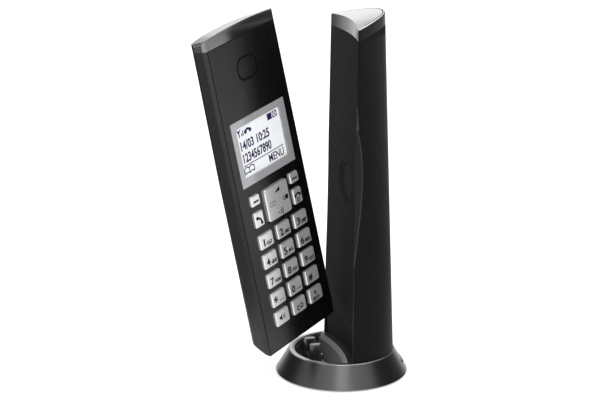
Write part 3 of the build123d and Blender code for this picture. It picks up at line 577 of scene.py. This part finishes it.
@dataclass(frozen=True)
class StudioCard(Finish):
    """A studio card whose glow changes with the bearing from the middle of the set."""

    dark: float
    pale: float
    start: float = 0.0
    span: float = 1.0

    def write(self, graph: Graph) -> None:
        """Write the ramp; bearings are radians from -x towards -y.

        Args:
            graph: The material's graph.
        """
        x, y, _ = graph.axes()
        bearing = graph.math("ARCTAN2", y * -1, x * -1)
        share = (bearing - self.start) * (1 / self.span)
        tone = graph.node("ShaderNodeValToRGB", {"stops": [
            (0.0, (self.pale,) * 3), (1.0, (self.dark,) * 3)]}, {0: share})
        graph.surface({
            "Base Color": (0.0, 0.0, 0.0), "Specular IOR Level": 0.0, "Emission Color": tone,
            "Emission Strength": 1.0})


class Finishes(Enum):
    """Every finish on the phone."""

    TOWER_BLACK = EdgeHighlightPlastic("tower_black", (0.0080, 0.0083, 0.0082), 0.46, specular=0.045)
    # Painted light: the front panel is a paler copy of the tower's black, with no specular, standing in for
    # the light its hollow face catches.
    TOWER_FRONT = MouldedPlastic("tower_front_black", (0.0275, 0.0284, 0.0282), 0.60, specular=0.0)
    BUTTON_BLACK = MouldedPlastic("button_black", (0.0135, 0.0140, 0.0139), 0.45, specular=0.03)
    HOUSING_BLACK = MouldedPlastic("housing_black", (0.0080, 0.0083, 0.0083), 0.36)
    PANEL_BLACK = MouldedPlastic(
        "handset_panel_satin", (0.0028, 0.0029, 0.0030), 0.26, grain_depth=0.001 * MM, lean=0.055)
    INNER_BLACK = MouldedPlastic("inner_black", (0.010, 0.010, 0.010), 0.60, specular=0.2)
    RUBBER = MouldedPlastic(
        "foot_rubber_grained", (0.020, 0.020, 0.020), 0.85, grain=0.5 * MM, specular=0.25)
    # Painted highlight: the ring's top rim, and the ledge of the cradle tray, are paler above a set height,
    # where they catch the light.
    RING_SILVER = RimHighlightPaint("ring_silver", (0.085, 0.085, 0.087), 0.30, 0.97)
    CRADLE_SILVER = RimHighlightPaint(
        "cradle_silver", (0.085, 0.085, 0.086), 0.30, 0.85, rim=9.0 * MM, rim_highlight_colour=(0.24, 0.24, 0.242))
    POST_SILVER = MetallicPaint("post_silver", (0.16, 0.16, 0.161), 0.28, 0.85)
    TRIM_SILVER = MetallicPaint("trim_silver", (0.205, 0.205, 0.207), 0.12, 0.97)
    FRAME_SILVER = MetallicPaint("frame_silver", (0.39, 0.393, 0.407), 0.09, 0.12)
    KEY_SILVER = MetallicPaint("key_silver_paint", (0.82, 0.82, 0.815), 0.22, 0.60)
    CAP_SILVER = CapTrim("cap_silver", (0.62, 0.62, 0.625), 0.18)
    CONTACT = BareMetal("contact_plate", (0.80, 0.76, 0.68), 0.22)
    STEEL = BareMetal("zinc_steel", (0.60, 0.60, 0.60), 0.32)
    BOARD = SolderMask("board_solder_mask")
    WINDOW = ClearPane("display_window_clear")
    LCD = LitPane("lcd_white")
    LEGEND = Ink("legend_black", (0.006, 0.006, 0.006))
    SEGMENT = Ink("segment_violet", (0.040, 0.017, 0.095), 0.5)
    CELL = CellWrap("cell_wrap")

    def dress(self, *things: bpy.types.Object) -> None:
        """Give the objects this finish."""
        self.value.dress(*things)


Nodes = dict[str, bpy.types.Object]
HANDSET_TURN = math.radians(127.7)
HANDSET_LEAN = math.radians(11.4)
HANDSET_SPOT = Vector((12.515, -21.883, 23.510)) * MM


def handset_frame() -> Matrix:
    """Work out the handset's own frame: x across the keys, y up it and z out of its face.

    Returns:
        The frame, in metres, from the middle of the panel's bottom edge.
    """
    across, out = math.cos(HANDSET_TURN), math.sin(HANDSET_TURN)
    level, rise = math.cos(HANDSET_LEAN), math.sin(HANDSET_LEAN)
    x_axis = Vector((across, out * level, out * rise))
    z_axis = Vector((out, -across * level, -across * rise))
    frame = Matrix((x_axis, z_axis.cross(x_axis), z_axis)).transposed().to_4x4()
    frame.translation = HANDSET_SPOT
    return frame


def top_of(node: bpy.types.Object, frame: Matrix) -> float:
    """Return how far a node reaches out of the handset's face, in millimetres."""
    back = frame.inverted()
    return max((back @ vert.co).z for vert in node.data.vertices) / MM


def dress_table(nodes: Nodes, table: dict[Finishes, list[str]]) -> None:
    """Give every node in a table its finish."""
    for finish, names in table.items():
        finish.dress(*(nodes[name] for name in names))


def settle(name: str, made: bmesh.types.BMesh) -> bpy.types.Object:
    """Put a finished mesh into the scene.

    Args:
        name: The object's name.
        made: The mesh, which is used up.

    Returns:
        The object.
    """
    data = bpy.data.meshes.new(name)
    made.to_mesh(data)
    made.free()
    thing = bpy.data.objects.new(name, data)
    bpy.context.scene.collection.objects.link(thing)
    return thing


@dataclass(frozen=True)
class Lettering:
    """A line of words, in millimetres; weight thickens its strokes, as a share of the type size."""

    words: str
    centre: Point
    height: float
    width: float
    weight: float


@dataclass
class Sketch:
    """Flat printed shapes, drawn in millimetres and made into one film of a mesh."""

    film: float = 0.03
    end_round: float = 0.3
    end_steps: int = 2
    corner_steps: int = 6
    arc_step: float = 15.0
    arc_steps: int = 4
    disc_sides: int = 20
    type_steps: int = 4
    type_weld: float = 1e-5
    mesh: bmesh.types.BMesh = field(default_factory=bmesh.new)

    def _sheet(self, width: float, height: float, corner: float, steps: int) -> bmesh.types.BMesh:
        """Start a flat sheet with rounded corners.

        Args:
            width: Its size along x.
            height: Its size along y.
            corner: The offset of its corner rounds.
            steps: The steps of each round.

        Returns:
            The sheet, centred on the origin.
        """
        made = bmesh.new()
        bmesh.ops.create_grid(made, x_segments=1, y_segments=1, size=0.5)
        bmesh.ops.scale(made, verts=made.verts, vec=(width, height, 1))
        bmesh.ops.bevel(made, geom=made.verts[:], offset=corner, segments=steps, profile=0.5,
                        affect="VERTICES", material=-1)
        return made

    def _take(self, made: bmesh.types.BMesh, centre: Point = (0.0, 0.0)) -> None:
        """Move a flat drawing to its place, thicken it and add it to this one.

        Args:
            made: The drawing, which is used up.
            centre: Where its origin goes.
        """
        bmesh.ops.translate(made, verts=made.verts, vec=(*centre, 0))
        bmesh.ops.recalc_face_normals(made, faces=made.faces)
        for face in made.faces:
            if face.normal.z < 0:
                face.normal_flip()
        grown = bmesh.ops.extrude_face_region(made, geom=made.faces[:])
        raised = [item for item in grown["geom"] if isinstance(item, bmesh.types.BMVert)]
        bmesh.ops.translate(made, verts=raised, vec=(0, 0, self.film))
        bmesh.ops.recalc_face_normals(made, faces=made.faces)
        held = bpy.data.meshes.new("stroke")
        made.to_mesh(held)
        made.free()
        self.mesh.from_mesh(held)
        bpy.data.meshes.remove(held)

    def text(self, line: Lettering) -> None:
        """Draw a line of words, stretched to its box.

        Args:
            line: The words and their box.
        """
        curve = bpy.data.curves.new("words", "FONT")
        curve.body = line.words
        curve.offset = line.weight
        curve.resolution_u = self.type_steps
        holder = bpy.data.objects.new("words", curve)
        bpy.context.scene.collection.objects.link(holder)
        bpy.context.view_layer.update()
        seen = holder.evaluated_get(bpy.context.evaluated_depsgraph_get())
        flat = bpy.data.meshes.new_from_object(seen)
        bpy.data.objects.remove(holder)
        bpy.data.curves.remove(curve)
        made = bmesh.new()
        made.from_mesh(flat)
        bpy.data.meshes.remove(flat)
        bmesh.ops.remove_doubles(made, verts=made.verts, dist=self.type_weld)
        low = Vector((min(v.co.x for v in made.verts), min(v.co.y for v in made.verts), 0))
        high = Vector((max(v.co.x for v in made.verts), max(v.co.y for v in made.verts), 0))
        size = high - low
        bmesh.ops.translate(made, verts=made.verts, vec=-(low + high) / 2)
        bmesh.ops.scale(made, verts=made.verts, vec=(line.width / size.x, line.height / size.y, 1))
        self._take(made, line.centre)

    def bar(self, start: Point, end: Point, width: float) -> None:
        """Draw a straight stroke with rounded ends.

        Args:
            start: One end.
            end: The other end.
            width: The stroke's width.
        """
        along = Vector(end) - Vector(start)
        made = self._sheet(along.length, width, width * self.end_round, self.end_steps)
        turn = Matrix.Rotation(math.atan2(along.y, along.x), 3, "Z")
        bmesh.ops.rotate(made, verts=made.verts, matrix=turn)
        self._take(made, (Vector(start) + Vector(end)) / 2)

    def path(self, points: list[Point], width: float) -> None:
        """Draw a stroke through points."""
        for start, end in zip(points, points[1:]):
            self.bar(start, end, width)

    def arc(self, centre: Point, radius: float, start: float, sweep: float, width: float) -> None:
        """Draw a curved stroke.

        Args:
            centre: The middle of the curve.
            radius: The radius at the middle of the stroke.
            start: Where it starts, in degrees from +x.
            sweep: How far it goes, in degrees.
            width: The stroke's width.
        """
        made = bmesh.new()
        turn = Matrix.Rotation(math.radians(start), 3, "Z")
        reaches = (radius - width / 2, radius + width / 2)
        ends = [made.verts.new(turn @ Vector((reach, 0, 0))) for reach in reaches]
        edge = made.edges.new(ends)
        steps = max(self.arc_steps, int(abs(sweep) / self.arc_step))
        bmesh.ops.spin(made, geom=[*ends, edge], cent=(0, 0, 0), axis=(0, 0, 1),
                       angle=math.radians(sweep), steps=steps, use_merge=abs(sweep) >= 360)
        self._take(made, centre)

    def loop(self, centre: Point, size: Point, corner: float, width: float) -> None:
        """Draw a stroke round a rectangle with rounded corners.

        Args:
            centre: The middle of the rectangle.
            size: Its width and height.
            corner: The offset of its corner rounds.
            width: The stroke's width.
        """
        made = self._sheet(size[0] + width, size[1] + width, corner + width / 2, self.corner_steps)
        inner = made.faces[:]
        bmesh.ops.inset_region(made, faces=inner, thickness=width, use_boundary=True, use_even_offset=True)
        bmesh.ops.delete(made, geom=inner, context="FACES")
        self._take(made, centre)

    def disc(self, centre: Point, radius: float) -> None:
        """Draw a filled disc.

        Args:
            centre: Its middle.
            radius: Its radius.
        """
        made = bmesh.new()
        bmesh.ops.create_circle(made, cap_ends=True, segments=self.disc_sides, radius=radius)
        self._take(made, centre)

    def patch(self, corners: list[Point]) -> None:
        """Draw a filled shape with straight sides.

        Args:
            corners: Its corners in order.
        """
        made = bmesh.new()
        made.faces.new([made.verts.new((*corner, 0)) for corner in corners])
        self._take(made)

    def piece(self, name: str, place: Matrix, body: str, finish: Finishes) -> None:
        """Finish the drawing as an object that rides on a body.

        Args:
            name: The piece's name.
            place: The plane of the drawing, with z out of the surface.
            body: The CAD body that carries it.
            finish: Its ink.
        """
        bmesh.ops.transform(self.mesh, matrix=place @ Matrix.Scale(MM, 4), verts=self.mesh.verts)
        made = settle(name, self.mesh)
        finish.dress(made)
        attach(made, body)
        LOG.info("%s rides on %s", name, body)


@dataclass
class BaseUnit:
    """The round foot, the cradle and what is inside them."""

    nodes: Nodes

    def dress(self) -> None:
        """Give each node of the base its finish."""
        dress_table(self.nodes, {
            Finishes.RING_SILVER: ["base_ring"],
            Finishes.CRADLE_SILVER: ["cradle_tray"],
            Finishes.POST_SILVER: ["charge_post"],
            Finishes.INNER_BLACK: ["bottom_plate", "line_jack", "power_jack", "page_switch"],
            Finishes.RUBBER: ["rubber_foot"],
            Finishes.CONTACT: ["charge_contacts", "base_antenna"],
            Finishes.STEEL: ["board_screws", "base_screws", "base_rf_shield"],
            Finishes.BOARD: ["base_circuit_board", "jack_board"],
        })


@dataclass
class Tower:
    """The tall shell with its hollow front, cap and page button."""

    nodes: Nodes

    def dress(self) -> None:
        """Give each node of the tower its finish."""
        dress_table(self.nodes, {
            Finishes.TOWER_BLACK: ["tower_rear_shell"],
            Finishes.TOWER_FRONT: ["tower_front_panel"],
            Finishes.BUTTON_BLACK: ["page_button"],
            Finishes.CAP_SILVER: ["tower_cap"],
        })


@dataclass
class HandsetBody:
    """The handset's housings and inner parts. Places are millimetres in the handset's frame."""

    nodes: Nodes
    frame: Matrix
    film: float = 0.02
    seam_y: float = 139.85
    seam_half: float = 22.7
    seam_width: float = 0.4
    earpiece_shade_centre: Point = (0.0, 125.85)
    earpiece_shade_size: Point = (13.1, 9.7)
    earpiece_shade_corner: float = 3.85
    earpiece_shade_width: float = 0.9

    def dress(self) -> None:
        """Give each node of the handset, apart from keys and display, its finish."""
        dress_table(self.nodes, {
            Finishes.HOUSING_BLACK: ["handset_rear_housing", "battery_cover"],
            Finishes.PANEL_BLACK: ["handset_front_panel", "earpiece_cover"],
            Finishes.TRIM_SILVER: ["handset_cap"],
            Finishes.INNER_BLACK: ["earpiece_speaker", "ringer_speaker"],
            Finishes.RUBBER: ["keypad_mat"],
            Finishes.STEEL: ["microphone", "handset_rf_shield", "handset_screws"],
            Finishes.CONTACT: ["battery_contacts", "handset_charge_contacts"],
            Finishes.BOARD: ["handset_circuit_board"],
            Finishes.CELL: ["battery_cells"],
        })

    def build(self) -> None:
        """Draw black films as painted shade: along the joint between the panel and the cap, and round the
        earpiece's groove.
        """
        level = top_of(self.nodes["handset_front_panel"], self.frame)
        face = self.frame @ Matrix.Translation((0, 0, level * MM))
        # Painted shade: a black film on the joint between the panel and the cap, for the shade in the gap.
        seam = Sketch(self.film)
        seam.bar((-self.seam_half, self.seam_y), (self.seam_half, self.seam_y), self.seam_width)
        seam.piece("cap_seam_shade", face, "handset", Finishes.LEGEND)
        # Painted shade: a black film round the earpiece, for the shade in its groove.
        earpiece_shade = Sketch(self.film)
        earpiece_shade.loop(self.earpiece_shade_centre, self.earpiece_shade_size, self.earpiece_shade_corner, self.earpiece_shade_width)
        earpiece_shade.piece("earpiece_groove_shade", face, "handset", Finishes.LEGEND)


@dataclass
class Display:
    """The lit display and what it shows. Places are millimetres from the view's lower left corner."""

    nodes: Nodes
    frame: Matrix
    film: float = 0.02
    left: float = -16.0
    bottom: float = 80.1
    stroke: float = 0.5
    bold: float = 0.6
    fine: float = 0.4
    hairline: float = 0.35
    rule_ends: tuple[Point, Point] = ((1.4, 5.2), (30.0, 5.2))
    rule_width: float = 0.38
    book_centre: Point = (4.6, 2.9)
    lines: tuple[Lettering, ...] = (
        Lettering("14/03 10:25", (12.1, 14.0), 4.1, 20.4, 0.03),
        Lettering("1234567890", (12.1, 8.4), 4.3, 20.0, 0.03),
        Lettering("MENU", (24.1, 2.6), 3.6, 10.8, 0.015))

    def dress(self) -> None:
        """Give the display's nodes their finishes."""
        dress_table(self.nodes, {
            Finishes.FRAME_SILVER: ["display_frame"],
            Finishes.WINDOW: ["display_window"],
            Finishes.LCD: ["lcd_panel", "display_backlight"],
        })

    def build(self) -> None:
        """Draw the display's contents on the panel under the window."""
        ink = Sketch(self.film)
        self._signal(ink)
        self._call(ink)
        self._battery(ink)
        for line in self.lines:
            ink.text(line)
        ink.bar(*self.rule_ends, self.rule_width)
        self._book(ink)
        level = top_of(self.nodes["lcd_panel"], self.frame)
        corner = Matrix.Translation(Vector((self.left, self.bottom, level)) * MM)
        ink.piece("display_segments", self.frame @ corner, "handset", Finishes.SEGMENT)

    def _signal(self, ink: Sketch) -> None:
        """Draw an aerial with two rising bars.

        Args:
            ink: The drawing.
        """
        ink.bar((2.4, 18.2), (2.4, 21.2), self.bold)
        ink.path([(1.2, 21.5), (2.4, 20.0), (3.6, 21.5)], self.stroke)
        for step in range(2):
            ink.bar((4.2 + step, 18.2), (4.2 + step, 19.6 + step), self.bold)

    def _call(self, ink: Sketch) -> None:
        """Draw a receiver.

        Args:
            ink: The drawing.
        """
        ink.arc((8.5, 17.8), 2.4, 35, 110, 1.0)
        for x in (6.9, 10.2):
            ink.disc((x, 19.3), 0.9)

    def _battery(self, ink: Sketch) -> None:
        """Draw a filled box and a crossed box.

        Args:
            ink: The drawing.
        """
        ink.patch([(22.9, 18.7), (26.1, 18.7), (26.1, 21.6), (22.9, 21.6)])
        ink.path([(26.7, 18.9), (29.6, 18.9), (29.6, 21.4), (26.7, 21.4), (26.7, 18.9)], self.fine)
        ink.bar((26.9, 19.2), (29.4, 21.1), self.hairline)
        ink.bar((26.9, 21.1), (29.4, 19.2), self.hairline)

    def _book(self, ink: Sketch) -> None:
        """Draw an open book.

        Args:
            ink: The drawing.
        """
        x, y = self.book_centre
        for side in (-1, 1):
            inner, outer = x + side * 1.7, x + side * 3.4
            ink.path([(x, y - 1.3), (inner, y - 0.8), (outer, y - 1.3),
                      (outer, y + 1.0), (inner, y + 1.6), (x, y + 1.0)], self.stroke)
        ink.bar((x, y - 1.3), (x, y + 1.0), self.stroke)


@dataclass
class Keypad:
    """The keys and their legends. Keys' places are in the handset's frame, signs' from the key's middle."""

    nodes: Nodes
    frame: Matrix
    pitch_x: float = 12.7
    pitch_y: float = 9.125
    low_row: float = 13.9
    middle: float = 0.5
    side_left: float = -14.0
    side_right: float = 14.5
    soft_y: float = 69.6
    call_y: float = 60.95
    navigation_y: float = 64.15
    stroke: float = 0.45
    heavy: float = 0.95
    digit_centre: Point = (-1.9, -0.5)
    digit_height: float = 3.3
    digit_width: float = 2.5
    digit_weight: float = 0.03
    one_width: float = 1.0
    one_weight: float = 0.01
    letters_centre: Point = (1.9, -1.35)
    letters_height: float = 1.8
    letters_weight: float = 0.06
    letters_width: float = 2.6
    letter_step: float = 0.4
    rows: tuple[tuple[str, ...], ...] = (
        ("speaker", "redial", "intercom"), ("star", "0", "hash"),
        ("7", "8", "9"), ("4", "5", "6"), ("1", "2", "3"))
    letters: dict[str, str] = field(default_factory=lambda: {
        "2": "ABC", "3": "DEF", "4": "GHI", "5": "JKL", "6": "MNO", "7": "PQRS", "8": "TUV", "9": "WXYZ"})

    def dress(self) -> None:
        """Give every key its finish."""
        numbers = [f"key_{name}" for row in self.rows for name in row]
        others = ["soft_key_left", "soft_key_right", "talk_key", "off_key", "navigation_key"]
        dress_table(self.nodes, {Finishes.KEY_SILVER: numbers + others})

    def build(self) -> None:
        """Print the legend of every key."""
        signs = {"speaker": self._speaker, "redial": self._redial, "intercom": self._recall,
                 "star": self._star, "hash": self._hash}
        for row, names in enumerate(self.rows):
            for column, name in enumerate(names):
                centre = (self.middle + (column - 1) * self.pitch_x, self.low_row + row * self.pitch_y)
                self._print(f"key_{name}", centre, signs.get(name) or partial(self._number, name))
        self._print("soft_key_left", (self.side_left, self.soft_y), self._dash)
        self._print("soft_key_right", (self.side_right, self.soft_y), self._dash)
        self._print("talk_key", (self.side_left, self.call_y), self._talk)
        self._print("off_key", (self.side_right, self.call_y), self._off)
        self._print("navigation_key", (self.middle, self.navigation_y), self._navigation)

    def _print(self, key: str, centre: Point, sign: Callable[[Sketch], None]) -> None:
        """Print a legend on a key's face.

        Args:
            key: The key's node, which is also its body.
            centre: The key's middle.
            sign: What draws the legend.
        """
        ink = Sketch()
        sign(ink)
        # The pip on the middle key stands above its face, which is level with its neighbour's.
        face = "key_2" if key == "key_5" else key
        level = top_of(self.nodes[face], self.frame) - ink.film / 2
        place = self.frame @ Matrix.Translation(Vector((*centre, level)) * MM)
        ink.piece(f"legend_{key}", place, key, Finishes.LEGEND)

    def _number(self, name: str, ink: Sketch) -> None:
        """Draw a digit and the letters or the sign beside it.

        Args:
            name: The digit.
            ink: The drawing.
        """
        slim = name == "1"
        ink.text(Lettering(
            name, self.digit_centre, self.digit_height, self.one_width if slim else self.digit_width,
            self.one_weight if slim else self.digit_weight))
        if name in self.letters:
            letters = self.letters[name]
            ink.text(Lettering(
                letters, self.letters_centre, self.letters_height,
                self.letters_width + self.letter_step * len(letters), self.letters_weight))
        elif slim:
            self._message(ink)
        else:
            ink.path([(0.4, -1.9), (0.4, -1.4), (3.2, -1.4), (3.2, -1.9)], self.stroke * 0.8)

    def _message(self, ink: Sketch) -> None:
        """Draw two reels with tape below them.

        Args:
            ink: The drawing.
        """
        for x in (0.4, 2.4):
            ink.arc((x, -1.3), 0.65, 0, 360, self.stroke)
        ink.bar((0.4, -1.95), (2.4, -1.95), self.stroke)

    def _star(self, ink: Sketch) -> None:
        """Draw a star and three dashes.

        Args:
            ink: The drawing.
        """
        for turn in (30, 90, 150):
            reach = Matrix.Rotation(math.radians(turn), 2) @ Vector((1.6, 0))
            ink.bar((-2.3 - reach.x, -reach.y), (-2.3 + reach.x, reach.y), self.stroke * 1.3)
        for step in range(3):
            ink.bar((0.2 + step * 1.2, -1.4), (0.9 + step * 1.2, -1.4), self.stroke * 1.2)

    def _hash(self, ink: Sketch) -> None:
        """Draw the number sign."""
        ink.text(Lettering("#", (-1.4, -0.4), 3.0, 2.9, 0.05))

    def _recall(self, ink: Sketch) -> None:
        """Draw the words of the recall key."""
        ink.text(Lettering("R", (-0.2, 0.9), 1.9, 1.7, 0.06))
        ink.text(Lettering("ECO", (-0.3, -1.7), 1.7, 4.8, 0.06))

    def _speaker(self, ink: Sketch) -> None:
        """Draw a loudspeaker with two waves.

        Args:
            ink: The drawing.
        """
        ink.patch([(-2.5, -0.6), (-1.6, -0.6), (-0.5, -1.5), (-0.5, 1.5), (-1.6, 0.6), (-2.5, 0.6)])
        ink.arc((-0.5, 0.0), 1.0, -50, 100, self.stroke)
        ink.arc((-0.5, 0.0), 1.9, -45, 90, self.stroke)

    def _redial(self, ink: Sketch) -> None:
        """Draw two loops with arrow heads.

        Args:
            ink: The drawing.
        """
        ink.arc((-1.2, -0.9), 0.85, 40, 290, self.stroke * 1.3)
        ink.patch([(-1.1, -0.5), (0.1, -0.5), (-0.4, 0.5)])
        ink.arc((1.3, -0.5), 0.85, -140, 290, self.stroke * 1.3)
        ink.patch([(1.2, -0.9), (0.0, -0.9), (0.5, -1.9)])

    def _dash(self, ink: Sketch) -> None:
        """Draw a short dash."""
        ink.bar((-1.9, -0.4), (1.9, -0.4), 0.8)

    def _talk(self, ink: Sketch) -> None:
        """Draw a lifted receiver.

        Args:
            ink: The drawing.
        """
        ink.arc((-1.2, -1.6), 2.3, 5, 95, self.heavy)
        ink.disc((-1.5, 0.75), 0.8)
        ink.disc((1.2, -1.9), 0.8)

    def _off(self, ink: Sketch) -> None:
        """Draw a receiver that lies flat, over a power sign.

        Args:
            ink: The drawing.
        """
        ink.arc((-0.1, -1.2), 2.3, 40, 100, self.heavy)
        for x in (-1.8, 1.6):
            ink.disc((x, 0.3), 0.75)
        ink.arc((-0.1, -1.7), 0.9, 130, 280, self.stroke)
        ink.bar((-0.1, -1.5), (-0.1, -0.7), self.stroke)

    def _navigation(self, ink: Sketch) -> None:
        """Draw the four signs of the navigation key: volume, list, book and sound.

        Args:
            ink: The drawing.
        """
        ink.patch([(-2.0, 4.0), (2.2, 4.0), (2.2, 5.9)])
        ink.arc((4.1, -0.4), 0.8, 0, 360, self.stroke * 0.8)
        ink.disc((6.0, -0.4), 1.15)
        spine = -4.2
        for outer in (spine - 1.9, spine + 1.9):
            page = [(spine, -0.9), (outer, -0.9), (outer, 0.8), (spine, 0.8), (spine, -0.9)]
            ink.path(page, self.stroke * 0.5)
        ink.bar((-1.4, -5.4), (-0.4, -5.4), self.stroke * 1.3)
        ink.arc((-0.4, -5.4), 1.1, -55, 110, self.stroke * 1.2)
        ink.arc((-0.4, -5.4), 2.2, -45, 90, self.stroke * 1.2)


@dataclass(frozen=True)
class Softbox:
    """A soft light, in metres and watts."""

    label: str
    eye: Spot
    aim: Spot
    size: Point
    power: float

    def hang(self) -> None:
        """Hang the light, facing its aim."""
        data = bpy.data.lights.new(self.label, "AREA")
        data.shape = "RECTANGLE"
        data.size, data.size_y = self.size
        data.energy = self.power
        light = bpy.data.objects.new(self.label, data)
        light.location = self.eye
        light.rotation_euler = (Vector(self.aim) - Vector(self.eye)).to_track_quat("-Z", "Y").to_euler()
        light.visible_camera = False
        bpy.context.scene.collection.objects.link(light)


@dataclass(frozen=True)
class Reflector:
    """A card that only shows in glossy faces, with its four corners in metres."""

    corners: tuple[Spot, Spot, Spot, Spot]
    finish: StudioCard

    def stand(self) -> None:
        """Stand the card in the studio."""
        made = bmesh.new()
        made.faces.new([made.verts.new(corner) for corner in self.corners])
        card = settle(self.finish.label, made)
        card.visible_camera = False
        card.visible_diffuse = False
        card.visible_shadow = False
        self.finish.dress(card)


@dataclass
class Studio:
    """The white studio: floor, light and the photograph's camera."""

    eye: Spot = (0.84539, -0.25740, 0.32593)
    right: Spot = (0.27063, 0.96266, 0.0)
    up: Spot = (-0.25750, 0.07239, 0.96352)
    back: Spot = (0.92758, -0.26077, 0.26749)
    focal: float = 122.4
    sensor: float = 36.0
    nearest: float = 0.01
    floor_reach: float = 6.0
    floor_finish: MouldedPlastic = MouldedPlastic(
        "floor_white", (0.93, 0.93, 0.93), 0.9, grain=4 * MM, mottle=0.01, grain_depth=0.0, glow=0.32)
    sky: tuple[Point, ...] = (
        (0.0, 0.06), (0.25, 0.10), (0.50, 0.45), (0.75, 0.95), (0.90, 0.50), (1.0, 0.40))
    sky_strength: float = 2.0
    softboxes: tuple[Softbox, ...] = (
        Softbox("softbox_behind", (-0.74, 0.10, 0.29), (0.0, 0.0, 0.16), (0.5, 0.28), 0.46),
        Softbox("softbox_front", (0.75, -0.20, 0.75), (0.0, 0.0, 0.05), (0.35, 0.35), 1.2))
    reflectors: tuple[Reflector, ...] = (
        Reflector(
            ((-0.07, -0.24, 0.0), (-0.24, -0.01, 0.0), (-0.42, -0.02, 0.24), (-0.13, -0.45, 0.24)),
            StudioCard("card_back", 0.04, 0.85, 0.0, 0.62)),
        Reflector(
            ((-1.0, 1.0, 0.22), (0.8, 1.0, 0.22), (0.8, 1.0, 0.95), (-1.0, 1.0, 0.95)),
            StudioCard("card_right", 0.05, 0.05)),
        Reflector(
            ((-0.2, -0.6, 0.002), (0.15, -0.6, 0.002), (0.15, -0.1, 0.002), (-0.2, -0.1, 0.002)),
            StudioCard("card_left", 0.35, 0.35)),
        Reflector(
            ((-0.30, 0.10, 0.002), (0.40, 0.10, 0.002), (0.40, 0.45, 0.002), (-0.30, 0.45, 0.002)),
            StudioCard("card_floor", 0.7, 0.7)))

    def build(self) -> None:
        """Make the camera, the floor, the world and the lights."""
        self._camera()
        self._floor()
        self._world()
        for softbox in self.softboxes:
            softbox.hang()
        for reflector in self.reflectors:
            reflector.stand()
        settings = bpy.context.scene.view_settings
        settings.view_transform = "Standard"
        settings.look = "None"

    def _camera(self) -> None:
        """Stand the camera where the photograph was taken."""
        data = bpy.data.cameras.new("photo_camera")
        data.lens = self.focal
        data.sensor_width = self.sensor
        data.clip_start = self.nearest
        camera = bpy.data.objects.new("photo_camera", data)
        pose = Matrix((self.right, self.up, self.back)).transposed().to_4x4()
        pose.translation = self.eye
        camera.matrix_world = pose
        bpy.context.scene.collection.objects.link(camera)
        bpy.context.scene.camera = camera

    def _floor(self) -> None:
        """Lay the pale floor."""
        made = bmesh.new()
        bmesh.ops.create_grid(made, x_segments=1, y_segments=1, size=self.floor_reach)
        floor = settle("floor", made)
        self.floor_finish.dress(floor)

    def _world(self) -> None:
        """Light the studio from all round, brightest halfway up."""
        world = bpy.data.worlds.new("studio")
        bpy.context.scene.world = world
        world.use_nodes = True
        graph = Graph(world.node_tree)
        way = graph.node("ShaderNodeTexCoord", output="Generated")
        up = graph.node("ShaderNodeSeparateXYZ", inputs={0: way}, output="Z")
        stops = [(height, (tone,) * 3) for height, tone in self.sky]
        tone = graph.node("ShaderNodeValToRGB", {"stops": stops}, {0: up})
        sky = graph.node("ShaderNodeBackground", inputs={"Color": tone, "Strength": self.sky_strength})
        graph.node("ShaderNodeOutputWorld", inputs={"Surface": sky})


def main() -> None:
    """Load the phone, dress it and light it."""
    logging.basicConfig(level=logging.INFO)
    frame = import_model()
    nodes = frame["nodes"]
    place = handset_frame()
    Studio().build()
    for unit in (BaseUnit(nodes), Tower(nodes)):
        unit.dress()
    for unit in (HandsetBody(nodes, place), Display(nodes, place), Keypad(nodes, place)):
        unit.dress()
        unit.build()


if __name__ == "__main__":
    main()
